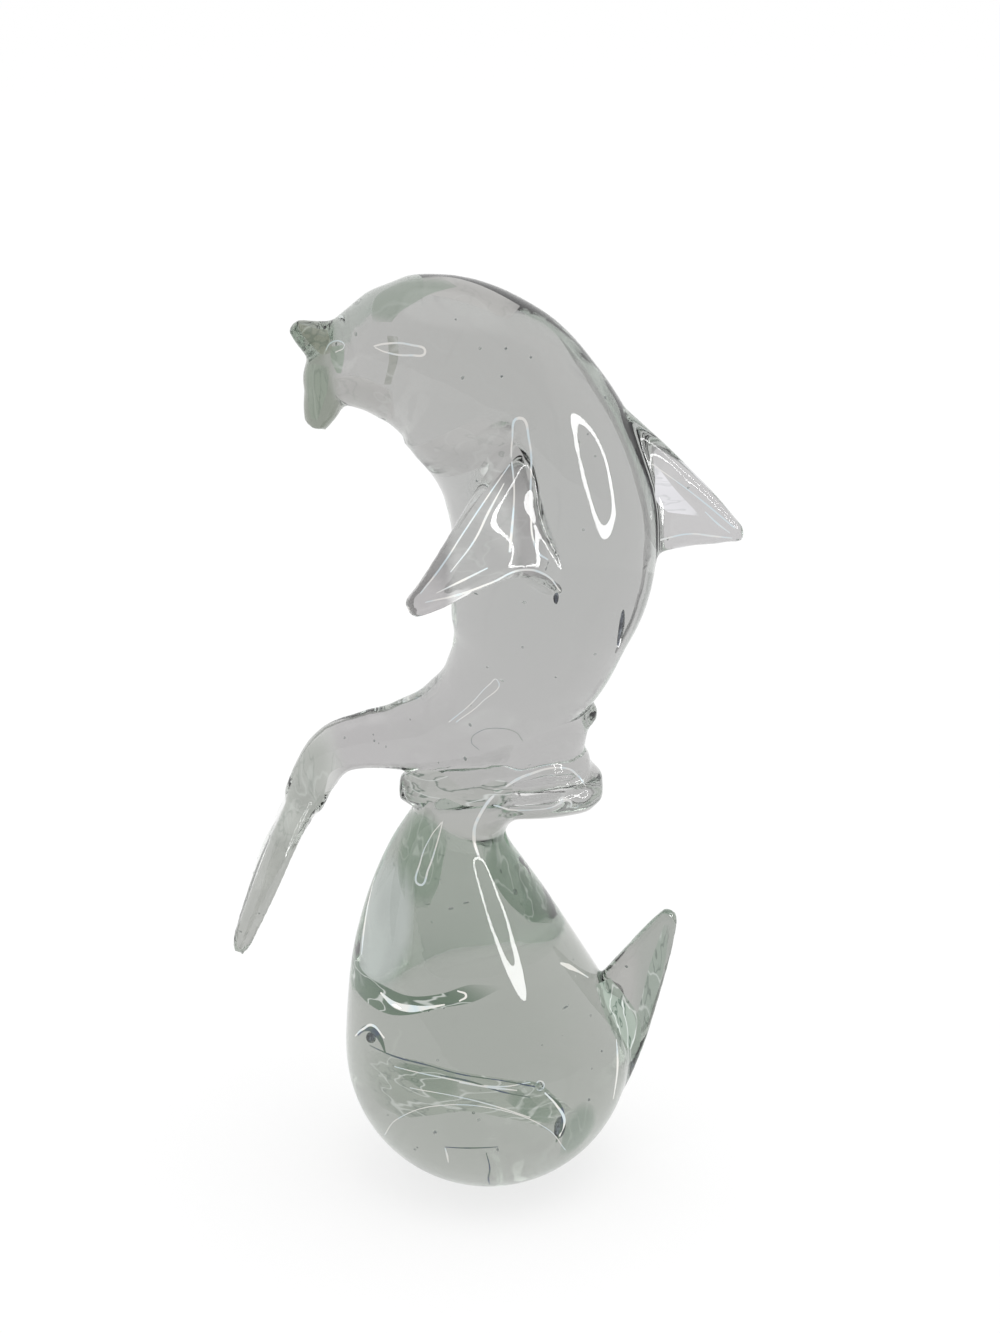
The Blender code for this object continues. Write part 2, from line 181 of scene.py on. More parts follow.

# Veils inside the glass glowing with painted shade and painted light, with painted highlight and
# shade crinkles: colour, strength of the crinkles, opacity, grain, centre, reach, then rows of (one
# edge x, y, z, other edge x, y, z). Most of these rows, and of the points of the seams below, came from
# a scratch script: it sent a ray through each of a set of spots picked by hand in the photograph, and
# gave the place a chosen depth under the skin.
SHADE_AND_LIGHT_VEILS = {
    "left_shoulder_veil": (
        (0.71, 0.77, 0.75), 0.0, 0.75, UPRIGHT, (-0.0222, -0.0090, 0.0620), (0.0092, 0.013, 0.018),
        [
            (-0.0199, -0.0010, 0.0761, -0.0140, -0.0085, 0.0780),
            (-0.0234, -0.0015, 0.0681, -0.0150, -0.0120, 0.0716),
            (-0.0255, -0.0037, 0.0610, -0.0155, -0.0155, 0.0653),
            (-0.0269, -0.0061, 0.0539, -0.0158, -0.0180, 0.0581),
            (-0.0269, -0.0103, 0.0477, -0.0168, -0.0200, 0.0509),
        ],
    ),
    "left_neck_veil": (
        (0.30, 0.40, 0.31), 0.3, 0.45, UPRIGHT, (-0.0135, -0.0085, 0.0770), (0.0065, 0.011, 0.0125),
        [
            (-0.0170, 0.0000, 0.0850, -0.0097, -0.0075, 0.0883),
            (-0.0174, -0.0011, 0.0795, -0.0082, -0.0090, 0.0835),
            (-0.0184, -0.0051, 0.0751, -0.0093, -0.0101, 0.0772),
            (-0.0181, -0.0088, 0.0709, -0.0104, -0.0123, 0.0722),
            (-0.0165, -0.0123, 0.0675, -0.0124, -0.0140, 0.0679),
        ],
    ),
    "right_neck_veil": (
        (0.24, 0.33, 0.25), 0.3, 0.60, UPRIGHT, (0.0060, -0.0050, 0.0700), (0.012, 0.012, 0.016),
        [
            (-0.0007, -0.0094, 0.0855, 0.0030, -0.0030, 0.0835),
            (-0.0013, -0.0085, 0.0784, 0.0052, -0.0012, 0.0745),
            (0.0004, -0.0093, 0.0725, 0.0101, 0.0010, 0.0650),
            (0.0037, -0.0106, 0.0674, 0.0134, 0.0010, 0.0595),
            (0.0082, -0.0100, 0.0624, 0.0160, 0.0010, 0.0555),
        ],
    ),
    "collar_veil": (
        (0.67, 0.69, 0.655), 0.8, 0.70, LEVEL, (-0.0060, -0.0055, 0.0925), (0.016, 0.013, 0.007),
        [
            (-0.0177, 0.0004, 0.0910, -0.0165, -0.0041, 0.0887),
            (-0.0154, -0.0028, 0.0947, -0.0146, -0.0053, 0.0885),
            (-0.0124, -0.0046, 0.0958, -0.0116, -0.0066, 0.0889),
            (-0.0099, -0.0054, 0.0955, -0.0090, -0.0074, 0.0901),
            (-0.0046, -0.0075, 0.0927, -0.0045, -0.0104, 0.0897),
            (0.0017, -0.0085, 0.0950, 0.0016, -0.0101, 0.0900),
            (0.0050, -0.0084, 0.0943, 0.0050, -0.0093, 0.0906),
        ],
    ),
    "chin_veil": (
        (0.67, 0.67, 0.65), 0.15, 0.75, EVEN, (-0.0245, -0.0070, 0.1785), (0.011, 0.010, 0.009),
        [
            (-0.0303, -0.0064, 0.1816, -0.0299, -0.0044, 0.1771),
            (-0.0278, -0.0077, 0.1824, -0.0270, -0.0029, 0.1753),
            (-0.0245, -0.0094, 0.1826, -0.0236, -0.0029, 0.1741),
            (-0.0214, -0.0111, 0.1819, -0.0208, -0.0053, 0.1735),
            (-0.0186, -0.0122, 0.1805, -0.0178, -0.0086, 0.1735),
        ],
    ),
    "breast_veil": (
        (0.67, 0.675, 0.66), 0.1, 0.80, EVEN, (-0.0030, -0.0110, 0.1695), (0.0165, 0.014, 0.0085),
        [
            (-0.0165, -0.0010, 0.1690, -0.0140, 0.0000, 0.1600),
            (-0.0136, -0.0070, 0.1686, -0.0105, -0.0060, 0.1610),
            (-0.0089, -0.0127, 0.1721, -0.0063, -0.0098, 0.1629),
            (-0.0040, -0.0149, 0.1750, -0.0014, -0.0139, 0.1657),
            (0.0006, -0.0154, 0.1774, 0.0028, -0.0157, 0.1682),
            (0.0048, -0.0149, 0.1788, 0.0064, -0.0152, 0.1716),
            (0.0085, -0.0140, 0.1790, 0.0095, -0.0142, 0.1735),
        ],
    ),
    "fin_root_veil": (
        (0.67, 0.675, 0.66), 0.3, 0.85, EVEN, (0.0045, -0.0190, 0.1690), (0.0085, 0.009, 0.0080),
        [
            (-0.0018, -0.0162, 0.1656, 0.0006, -0.0226, 0.1644),
            (0.0010, -0.0177, 0.1698, 0.0034, -0.0207, 0.1670),
            (0.0041, -0.0179, 0.1723, 0.0064, -0.0185, 0.1693),
            (0.0064, -0.0182, 0.1703, 0.0083, -0.0187, 0.1663),
            (0.0079, -0.0195, 0.1645, 0.0093, -0.0191, 0.1623),
        ],
    ),
    "near_fin_veil": (
        (0.53, 0.53, 0.525), 0.1, 0.62, EVEN, (-0.0010, -0.0230, 0.1550), (0.017, 0.015, 0.0175),
        [
            (0.0054, -0.0167, 0.1680, 0.0126, -0.0179, 0.1420),
            (-0.0012, -0.0227, 0.1620, 0.0057, -0.0239, 0.1473),
            (-0.0074, -0.0271, 0.1537, -0.0024, -0.0279, 0.1453),
            (-0.0124, -0.0301, 0.1472, -0.0095, -0.0305, 0.1421),
        ],
    ),
    "crown_veil": (
        (0.63, 0.63, 0.61), 0.1, 0.75, EVEN, (-0.0030, -0.0040, 0.1970), (0.014, 0.010, 0.007),
        [
            (-0.0129, 0.0003, 0.1997, -0.0124, -0.0061, 0.1982),
            (-0.0085, 0.0010, 0.1995, -0.0087, -0.0068, 0.1978),
            (-0.0036, -0.0001, 0.1989, -0.0045, -0.0074, 0.1970),
            (0.0013, -0.0015, 0.1973, -0.0002, -0.0078, 0.1955),
            (0.0062, -0.0025, 0.1947, 0.0039, -0.0081, 0.1936),
        ],
    ),
    "melon_veil": (
        (0.42, 0.48, 0.42), 0.1, 0.75, EVEN, (-0.0150, -0.0050, 0.1968), (0.013, 0.009, 0.0055),
        [
            (-0.0225, -0.0079, 0.1932, -0.0186, -0.0095, 0.1937),
            (-0.0222, -0.0035, 0.1963, -0.0170, -0.0087, 0.1954),
            (-0.0195, -0.0011, 0.1979, -0.0140, -0.0077, 0.1971),
            (-0.0149, -0.0005, 0.1993, -0.0110, -0.0062, 0.1984),
            (-0.0095, 0.0005, 0.1994, -0.0060, -0.0035, 0.1989),
        ],
    ),
    "beak_veil": (
        (0.46, 0.48, 0.40), 0.5, 0.60, EVEN, (-0.0345, -0.0020, 0.1885), (0.0060, 0.006, 0.0060),
        [
            (-0.0378, 0.0001, 0.1905, -0.0366, -0.0019, 0.1890),
            (-0.0362, -0.0003, 0.1900, -0.0347, -0.0031, 0.1872),
            (-0.0342, -0.0009, 0.1896, -0.0326, -0.0042, 0.1857),
            (-0.0318, -0.0015, 0.1895, -0.0302, -0.0057, 0.1866),
        ],
    ),
    "lower_lip_veil": (
        (0.50, 0.58, 0.50), 0.5, 0.35, UPRIGHT, (-0.0325, -0.0030, 0.1760), (0.0060, 0.006, 0.0100),
        [
            (-0.0350, 0.0000, 0.1826, -0.0311, -0.0055, 0.1835),
            (-0.0350, -0.0007, 0.1784, -0.0317, -0.0049, 0.1793),
            (-0.0352, -0.0009, 0.1742, -0.0332, -0.0030, 0.1746),
            (-0.0350, -0.0010, 0.1718, -0.0341, -0.0020, 0.1718),
        ],
    ),
    "tail_veil": (
        (0.68, 0.70, 0.67), 0.25, 0.75, UPRIGHT, (-0.0395, -0.0050, 0.0900), (0.012, 0.012, 0.0175),
        [
            (-0.0300, -0.0008, 0.1036, -0.0270, -0.0044, 0.0966),
            (-0.0350, -0.0008, 0.1012, -0.0305, -0.0040, 0.0960),
            (-0.0391, -0.0005, 0.0962, -0.0332, -0.0037, 0.0945),
            (-0.0408, -0.0012, 0.0921, -0.0345, -0.0028, 0.0905),
            (-0.0422, -0.0020, 0.0876, -0.0354, -0.0020, 0.0872),
            (-0.0431, -0.0060, 0.0854, -0.0390, -0.0070, 0.0845),
            (-0.0453, -0.0099, 0.0815, -0.0415, -0.0114, 0.0801),
            (-0.0469, -0.0128, 0.0778, -0.0435, -0.0139, 0.0764),
            (-0.0481, -0.0150, 0.0747, -0.0453, -0.0161, 0.0732),
        ],
    ),
    "crest_root_veil": (
        (0.50, 0.58, 0.51), 0.9, 0.75, UPRIGHT, (0.0285, -0.0055, 0.0365), (0.012, 0.011, 0.016),
        [
            (0.0224, -0.0043, 0.0443, 0.0265, -0.0018, 0.0449),
            (0.0241, -0.0078, 0.0406, 0.0303, -0.0020, 0.0398),
            (0.0261, -0.0093, 0.0355, 0.0329, -0.0026, 0.0353),
            (0.0284, -0.0086, 0.0303, 0.0327, -0.0026, 0.0292),
            (0.0293, -0.0062, 0.0262, 0.0308, -0.0030, 0.0258),
        ],
    ),
    "crest_ridge_veil": (
        (0.48, 0.57, 0.50), 0.9, 0.40, UPRIGHT, (0.0355, -0.0015, 0.0450), (0.006, 0.006, 0.018),
        [
            (0.0378, -0.0007, 0.0574, 0.0392, -0.0006, 0.0573),
            (0.0349, -0.0013, 0.0480, 0.0378, -0.0008, 0.0478),
            (0.0329, -0.0020, 0.0387, 0.0355, -0.0013, 0.0383),
            (0.0305, -0.0030, 0.0309, 0.0332, -0.0020, 0.0303),
        ],
    ),
    "back_fin_highlight_veil": (
        (1.1, 1.1, 1.14), 0.2, 0.80, LEVEL, (0.0370, -0.0020, 0.1560), (0.0095, 0.009, 0.0095),
        [
            (0.0335, -0.0024, 0.1627, 0.0349, -0.0021, 0.1609),
            (0.0338, -0.0022, 0.1592, 0.0382, -0.0015, 0.1565),
            (0.0338, -0.0022, 0.1545, 0.0412, -0.0012, 0.1531),
            (0.0367, -0.0017, 0.1517, 0.0433, -0.0010, 0.1507),
        ],
    ),
    "high_fold_shade": (
        (0.19, 0.27, 0.20), 0.8, 0.75, LEVEL, (-0.0170, -0.0140, 0.0492), (0.0240, 0.022, 0.0085),
        [
            (-0.0285, -0.0020, 0.0530, -0.0285, -0.0061, 0.0455),
            (-0.0263, -0.0096, 0.0508, -0.0250, -0.0136, 0.0452),
            (-0.0214, -0.0163, 0.0507, -0.0208, -0.0185, 0.0453),
            (-0.0162, -0.0201, 0.0504, -0.0162, -0.0213, 0.0466),
            (-0.0100, -0.0219, 0.0518, -0.0100, -0.0229, 0.0490),
            (-0.0040, -0.0217, 0.0538, -0.0034, -0.0229, 0.0504),
            (0.0010, -0.0211, 0.0534, 0.0014, -0.0215, 0.0522),
            (0.0050, -0.0202, 0.0541, 0.0052, -0.0204, 0.0535),
        ],
    ),
    "low_fold_shade": (
        (0.43, 0.49, 0.42), 0.7, 0.40, LEVEL, (-0.0030, -0.0220, 0.0300), (0.028, 0.018, 0.0130),
        [
            (-0.0263, -0.0134, 0.0344, -0.0246, -0.0141, 0.0243),
            (-0.0203, -0.0206, 0.0367, -0.0191, -0.0217, 0.0229),
            (-0.0130, -0.0252, 0.0375, -0.0120, -0.0269, 0.0259),
            (-0.0058, -0.0275, 0.0365, -0.0047, -0.0286, 0.0279),
            (0.0025, -0.0280, 0.0352, 0.0029, -0.0288, 0.0266),
            (0.0097, -0.0268, 0.0329, 0.0097, -0.0275, 0.0240),
            (0.0149, -0.0254, 0.0286, 0.0159, -0.0227, 0.0177),
            (0.0201, -0.0207, 0.0213, 0.0181, -0.0178, 0.0136),
        ],
    ),
    "green_wedge": (
        (0.25, 0.34, 0.26), 0.6, 0.50, LEVEL, (-0.0125, -0.0255, 0.0335), (0.0085, 0.008, 0.0060),
        [
            (-0.0199, -0.0211, 0.0356, -0.0199, -0.0213, 0.0338),
            (-0.0161, -0.0237, 0.0363, -0.0132, -0.0257, 0.0310),
            (-0.0120, -0.0257, 0.0364, -0.0083, -0.0279, 0.0284),
            (-0.0068, -0.0274, 0.0359, -0.0054, -0.0285, 0.0274),
        ],
    ),
    "green_lobe": (
        (0.28, 0.37, 0.29), 0.6, 0.45, EVEN, (0.0100, -0.0268, 0.0290), (0.0075, 0.008, 0.0070),
        [
            (0.0024, -0.0281, 0.0344, 0.0035, -0.0289, 0.0306),
            (0.0066, -0.0274, 0.0344, 0.0086, -0.0281, 0.0259),
            (0.0107, -0.0264, 0.0329, 0.0132, -0.0259, 0.0231),
            (0.0140, -0.0257, 0.0292, 0.0156, -0.0237, 0.0206),
        ],
    ),
    "lower_right_veil": (
        (0.27, 0.36, 0.29), 0.2, 0.40, UPRIGHT, (0.0180, -0.0200, 0.0190), (0.0055, 0.006, 0.0085),
        [
            (0.0149, -0.0250, 0.0263, 0.0201, -0.0212, 0.0265),
            (0.0153, -0.0239, 0.0210, 0.0232, -0.0169, 0.0202),
            (0.0145, -0.0210, 0.0134, 0.0201, -0.0170, 0.0146),
            (0.0117, -0.0189, 0.0086, 0.0149, -0.0186, 0.0109),
        ],
    ),
    "throat_fold_shade": (
        (0.44, 0.46, 0.41), 0.3, 0.45, EVEN, (-0.0188, -0.0090, 0.1860), (0.0035, 0.006, 0.0065),
        [
            (-0.0192, -0.0079, 0.1903, -0.0170, -0.0088, 0.1904),
            (-0.0188, -0.0095, 0.1862, -0.0170, -0.0102, 0.1865),
            (-0.0198, -0.0090, 0.1816, -0.0184, -0.0097, 0.1818),
        ],
    ),
    "gape_fold_shade": (
        (0.42, 0.50, 0.42), 0.3, 0.60, EVEN, (-0.0295, -0.0052, 0.1850), (0.0035, 0.005, 0.0045),
        [
            (-0.0308, -0.0040, 0.1870, -0.0278, -0.0057, 0.1880),
            (-0.0306, -0.0051, 0.1848, -0.0280, -0.0063, 0.1852),
            (-0.0296, -0.0057, 0.1826, -0.0286, -0.0060, 0.1827),
        ],
    ),
}
VEIL_THICKNESS = 0.0002
# Share of its colour that a sheet keeps in its darker, broad patches, and the sizes of its grain
VEIL_DEPTH = 0.88
VEIL_BROAD = 80.0
VEIL_SWELL = 190.0
VEIL_FINE = 330.0
BROAD_PATCHES = (0.40, 0.60)
BRIGHT_CRINKLE_WIDTH = (0.022, 0.004)
DARK_CRINKLE_WIDTH = (0.030, 0.005)
# Where a sheet begins to show and where it is full, as shares of its reach
VEIL_FADE = (1.0, 0.55)

# Painted highlights: bright seams that glow where light catches the folds and edges in the glass: points
# with a thickness
HIGHLIGHT_SEAMS = [
    [
        (-0.0225, -0.0165, 0.0492, 0.0004),
        (-0.0194, -0.0199, 0.0481, 0.0014),
        (-0.0162, -0.0216, 0.0482, 0.0017),
        (-0.0121, -0.0229, 0.0492, 0.0007),
        (-0.0090, -0.0232, 0.0500, 0.0003),
    ],
    [
        (-0.0064, -0.0228, 0.0530, 0.0003),
        (-0.0046, -0.0230, 0.0520, 0.0005),
        (-0.0060, -0.0232, 0.0508, 0.0003),
    ],
    [
        (-0.0279, -0.0104, 0.0356, 0.0003),
        (-0.0264, -0.0140, 0.0392, 0.0005),
        (-0.0242, -0.0171, 0.0416, 0.0006),
        (-0.0217, -0.0194, 0.0400, 0.0004),
    ],
    [
        (0.0118, -0.0272, 0.0312, 0.0003),
        (0.0140, -0.0262, 0.0280, 0.0004),
        (0.0158, -0.0249, 0.0235, 0.0007),
        (0.0148, -0.0244, 0.0195, 0.0004),
    ],
    [
        (-0.0240, -0.0008, 0.0685, 0.0003),
        (-0.0256, -0.0040, 0.0620, 0.0008),
        (-0.0265, -0.0068, 0.0566, 0.0007),
        (-0.0267, -0.0080, 0.0538, 0.0003),
    ],
    [
        (0.0272, -0.0096, 0.0342, 0.0003),
        (0.0274, -0.0122, 0.0304, 0.0008),
        (0.0270, -0.0138, 0.0262, 0.0007),
        (0.0264, -0.0138, 0.0222, 0.0003),
    ],
    [
        (0.0146, -0.0098, 0.0524, 0.0005),
        (0.0164, -0.0084, 0.0508, 0.0013),
        (0.0184, -0.0066, 0.0486, 0.0006),
        (0.0206, -0.0048, 0.0462, 0.0003),
    ],
]

# Fainter painted highlights, in the same way
FAINT_HIGHLIGHT_SEAMS = [
    [
        (-0.0090, -0.0268, 0.0180, 0.0002),
        (-0.0086, -0.0262, 0.0158, 0.0005),
        (-0.0084, -0.0252, 0.0135, 0.0002),
    ],
    [
        (-0.0020, -0.0100, 0.0778, 0.0006),
        (-0.0030, -0.0103, 0.0825, 0.0007),
        (-0.0017, -0.0119, 0.0885, 0.0006),
        (0.0026, -0.0087, 0.0927, 0.0006),
        (0.0088, -0.0099, 0.0969, 0.0005),
        (0.0149, -0.0089, 0.0978, 0.0004),
        (0.0187, -0.0066, 0.0951, 0.0004),
        (0.0204, -0.0069, 0.0927, 0.0002),
    ],
    [
        (0.0010, -0.0092, 0.0893, 0.0002),
        (0.0060, -0.0100, 0.0892, 0.0005),
        (0.0120, -0.0100, 0.0896, 0.0004),
        (0.0170, -0.0085, 0.0902, 0.0004),
        (0.0172, -0.0088, 0.0890, 0.0002),
    ],
    [
        (-0.0080, -0.0091, 0.1083, 0.0002),
        (-0.0036, -0.0108, 0.1129, 0.0002),
        (0.0005, -0.0127, 0.1183, 0.0002),
        (0.0020, -0.0135, 0.1196, 0.0002),
        (-0.0011, -0.0121, 0.1141, 0.0002),
        (-0.0065, -0.0098, 0.1086, 0.0002),
    ],
    [
        (0.0332, -0.0030, 0.1624, 0.0002),
        (0.0390, -0.0021, 0.1579, 0.0002),
        (0.0442, -0.0016, 0.1536, 0.0003),
        (0.0505, -0.0011, 0.1480, 0.0003),
    ],
    [
        (0.0443, -0.0015, 0.1517, 0.0002),
        (0.0470, -0.0013, 0.1490, 0.0004),
        (0.0495, -0.0012, 0.1470, 0.0002),
    ],
    [
        (0.0351, -0.0029, 0.1461, 0.0004),
        (0.0413, -0.0020, 0.1471, 0.0003),
        (0.0458, -0.0016, 0.1465, 0.0004),
        (0.0500, -0.0011, 0.1459, 0.0002),
    ],
    [
        (0.0044, -0.0254, 0.1515, 0.0006),
        (0.0052, -0.0221, 0.1613, 0.0004),
        (0.0049, -0.0181, 0.1724, 0.0003),
        (0.0062, -0.0176, 0.1767, 0.0006),
        (0.0082, -0.0180, 0.1723, 0.0004),
        (0.0085, -0.0200, 0.1605, 0.0004),
        (0.0099, -0.0221, 0.1504, 0.0005),
        (0.0119, -0.0212, 0.1484, 0.0003),
    ],
    [
        (-0.0060, -0.0286, 0.0345, 0.0002),
        (0.0010, -0.0290, 0.0335, 0.0005),
        (0.0060, -0.0286, 0.0326, 0.0002),
    ],
    [
        (-0.0222, -0.0109, 0.1893, 0.0003),
        (-0.0200, -0.0119, 0.1901, 0.0004),
        (-0.0150, -0.0137, 0.1904, 0.0004),
        (-0.0121, -0.0146, 0.1892, 0.0005),
        (-0.0150, -0.0141, 0.1884, 0.0004),
        (-0.0200, -0.0121, 0.1885, 0.0003),
        (-0.0220, -0.0111, 0.1891, 0.0002),
    ],
    [
        (-0.0320, -0.0052, 0.1868, 0.0002),
        (-0.0312, -0.0052, 0.1882, 0.0003),
        (-0.0290, -0.0062, 0.1889, 0.0002),
        (-0.0282, -0.0073, 0.1883, 0.0002),
        (-0.0300, -0.0066, 0.1868, 0.0002),
    ],
    [
        (-0.0094, -0.0099, 0.0861, 0.0002),
        (-0.0108, -0.0101, 0.0806, 0.0003),
        (-0.0124, -0.0113, 0.0758, 0.0004),
        (-0.0143, -0.0124, 0.0725, 0.0005),
        (-0.0141, -0.0103, 0.0770, 0.0003),
        (-0.0120, -0.0093, 0.0822, 0.0002),
        (-0.0096, -0.0097, 0.0858, 0.0002),
    ],
    [
        (-0.0194, -0.0219, 0.0346, 0.0002),
        (-0.0099, -0.0269, 0.0349, 0.0003),
        (0.0025, -0.0285, 0.0335, 0.0003),
        (0.0087, -0.0271, 0.0337, 0.0002),
    ],
    [
        (-0.0162, -0.0246, 0.0311, 0.0002),
        (-0.0058, -0.0286, 0.0311, 0.0002),
        (0.0025, -0.0293, 0.0290, 0.0003),
        (0.0087, -0.0282, 0.0261, 0.0002),
    ],
    [
        (-0.0218, -0.0161, 0.0150, 0.0002),
        (-0.0184, -0.0228, 0.0230, 0.0002),
        (-0.0100, -0.0278, 0.0287, 0.0002),
        (0.0025, -0.0293, 0.0285, 0.0002),
        (0.0118, -0.0267, 0.0229, 0.0002),
        (0.0161, -0.0213, 0.0144, 0.0002),
    ],
    [
        (0.0096, -0.0264, 0.0325, 0.0003),
        (0.0105, -0.0262, 0.0335, 0.0003),
        (0.0115, -0.0260, 0.0325, 0.0003),
        (0.0106, -0.0266, 0.0315, 0.0003),
        (0.0096, -0.0265, 0.0323, 0.0003),
    ],
    [
        (0.0044, -0.0199, 0.1678, 0.0002),
        (0.0001, -0.0235, 0.1625, 0.0003),
        (-0.0045, -0.0267, 0.1563, 0.0003),
        (-0.0092, -0.0295, 0.1497, 0.0003),
        (-0.0131, -0.0312, 0.1450, 0.0002),
    ],
    [
        (0.0032, -0.0216, 0.1645, 0.0002),
        (0.0001, -0.0245, 0.1595, 0.0005),
        (-0.0026, -0.0267, 0.1545, 0.0004),
        (-0.0073, -0.0292, 0.1488, 0.0002),
    ],
    [
        (-0.0122, -0.0317, 0.1434, 0.0002),
        (-0.0064, -0.0302, 0.1443, 0.0004),
        (0.0004, -0.0270, 0.1460, 0.0003),
        (0.0064, -0.0245, 0.1476, 0.0004),
        (0.0113, -0.0219, 0.1456, 0.0004),
        (0.0144, -0.0191, 0.1412, 0.0002),
    ],
    [
        (-0.0100, -0.0308, 0.1450, 0.0002),
        (-0.0050, -0.0293, 0.1470, 0.0005),
        (0.0000, -0.0275, 0.1490, 0.0003),
    ],
]

# Thin dark lines of painted shade, in the same way
SHADE_SEAMS = [
    [
        (0.0072, -0.0112, 0.1051, 0.0001),
        (0.0056, -0.0125, 0.1077, 0.0001),
        (0.0019, -0.0125, 0.1085, 0.0001),
        (-0.0018, -0.0114, 0.1072, 0.0001),
        (-0.0034, -0.0106, 0.1048, 0.0001),
        (-0.0018, -0.0103, 0.1027, 0.0001),
    ],
    [
        (-0.0090, -0.0270, 0.0183, 0.0002),
        (-0.0040, -0.0282, 0.0188, 0.0004),
        (0.0020, -0.0286, 0.0193, 0.0002),
    ],
    [
        (-0.0004, -0.0281, 0.0176, 0.0002),
        (0.0003, -0.0258, 0.0128, 0.0003),
        (0.0000, -0.0222, 0.0080, 0.0004),
        (0.0005, -0.0180, 0.0042, 0.0002),
    ],
    [
        (-0.0245, -0.0155, 0.0362, 0.0002),
        (-0.0190, -0.0225, 0.0371, 0.0004),
        (-0.0130, -0.0258, 0.0372, 0.0003),
        (-0.0058, -0.0281, 0.0362, 0.0003),
        (0.0025, -0.0286, 0.0350, 0.0002),
        (0.0097, -0.0274, 0.0328, 0.0003),
    ],
    [
        (0.0118, -0.0268, 0.0310, 0.0003),
        (0.0150, -0.0252, 0.0268, 0.0007),
        (0.0152, -0.0246, 0.0215, 0.0009),
        (0.0140, -0.0236, 0.0180, 0.0004),
    ],
    [
        (-0.0099, -0.0268, 0.0353, 0.0003),
        (-0.0038, -0.0282, 0.0346, 0.0004),
        (0.0025, -0.0287, 0.0325, 0.0003),
        (0.0087, -0.0279, 0.0306, 0.0002),
    ],
    [
        (-0.0272, -0.0112, 0.0362, 0.0004),
        (-0.0258, -0.0138, 0.0392, 0.0012),
        (-0.0240, -0.0161, 0.0402, 0.0016),
        (-0.0222, -0.0180, 0.0388, 0.0012),
        (-0.0212, -0.0192, 0.0366, 0.0004),
    ],
]

# Single round bubbles, then dark pockets of air whose walls are tinted nearly black as painted shade, as
# (x, y, z, width, depth, height)
BUBBLES = [
    (0.0105, -0.0258, 0.0324, 0.0020, 0.0020, 0.0020),
    (0.0017, -0.0066, 0.0724, 0.0009, 0.0009, 0.0014),
    (0.0048, -0.0072, 0.0679, 0.0012, 0.0010, 0.0016),
]
SHADED_POCKETS = [
    (-0.0240, -0.0150, 0.0378, 0.0034, 0.0012, 0.0026),
    (0.0146, -0.0238, 0.0216, 0.0028, 0.0012, 0.0056),
    (0.0137, -0.0188, 0.1396, 0.0011, 0.0008, 0.0030),
    (0.0266, -0.0108, 0.1300, 0.0016, 0.0012, 0.0090),
]
SEED_COUNT = 100
SEED_SIZE = (0.00025, 0.0007)
SEED_DEPTH = (0.2, 0.6)
SEED_REACH = 0.024
# How far under the skin the ray that measures the depth of the glass starts
SEED_START = 0.0002

# Places of the materials on the mesh, after the glass itself
AIR, SHADED_AIR, HIGHLIGHT_SEAM, FAINT_HIGHLIGHT_SEAM, SHADE_SEAM, FIRST_VEIL = range(1, 7)

# Tints of the glass surface: a grey-green glass colour that also holds painted shade, painted darker on
# the lips, base, crest and tail, and painted lighter on the fins and far fluke
BODY_TINT_AND_SHADE = (0.50, 0.485, 0.49, 1.0)
HEAD_TINT_AND_SHADE = (0.49, 0.475, 0.475, 1.0)
LIP_TINT_AND_SHADE = (0.27, 0.29, 0.25, 1.0)
BASE_TINT_AND_SHADE = (0.445, 0.44, 0.425, 1.0)
CREST_TINT_AND_SHADE = (0.38, 0.395, 0.37, 1.0)
TAIL_TINT_AND_SHADE = (0.47, 0.475, 0.455, 1.0)
NEAR_FIN_TINT_AND_LIGHT = (1.0, 1.0, 0.995, 1.0)
FAR_FIN_TINT_AND_LIGHT = (0.52, 0.505, 0.51, 1.0)
FAR_FLUKE_TINT_AND_LIGHT = (0.92, 0.92, 0.91, 1.0)
DORSAL_TINT_AND_LIGHT = (0.57, 0.56, 0.565, 1.0)

# Where each of these tints, with its painted shade or light, begins and where it is full, along x, y or z
HEAD_Z = (0.155, 0.185)
LIPS_X = (-0.0285, -0.0315)
LIPS_Z = (0.150, 0.160)
BASE_Z = (0.092, 0.082)
CREST_X = (0.030, 0.034)
CREST_Z = (0.092, 0.088)
TAIL_X = (-0.030, -0.036)
TAIL_Z = (0.110, 0.105)
FINS_FROM_Z = (0.128, 0.132)
FINS_TO_Z = (0.180, 0.176)
NEAR_FIN_FROM_X = (-0.0085, -0.0060)
NEAR_FIN_TO_X = (0.0070, 0.0045)
NEAR_FIN_Y = (-0.0218, -0.0243)
DORSAL_X = (0.030, 0.034)
FAR_FIN_Y = (0.0195, 0.0215)
FAR_FLUKE_Y = (0.001, 0.004)
GROUND_Z = (0.0004, 0.0001)

# What the glass takes up with depth, its waviness and its ground face
DEPTH_COLOUR = (0.57, 0.74, 0.61, 1.0)
DEPTH_DENSITY = 6.0
SWIRL_SCALE = 60.0
SWIRL_STRENGTH = 0.08
GROUND_ROUGHNESS = 0.35
GLASS_IOR = 1.5

# Colours of the walls inside, of the seams that glow with painted highlight or painted shade, and of the
# painted crinkles in the veils
AIR_DARK = (0.38, 0.40, 0.43, 1.0)
AIR_LIGHT = (0.85, 0.88, 0.87, 1.0)
# Pocket walls nearly black: painted shade
POCKET_SHADE = (0.06, 0.07, 0.10, 1.0)
POCKET_LIGHT = (0.42, 0.47, 0.54, 1.0)
# Painted highlight colours of the bright and faint seams
HIGHLIGHT_COOL = (0.80, 0.92, 0.97, 1.0)
HIGHLIGHT_WARM = (1.0, 0.99, 0.95, 1.0)
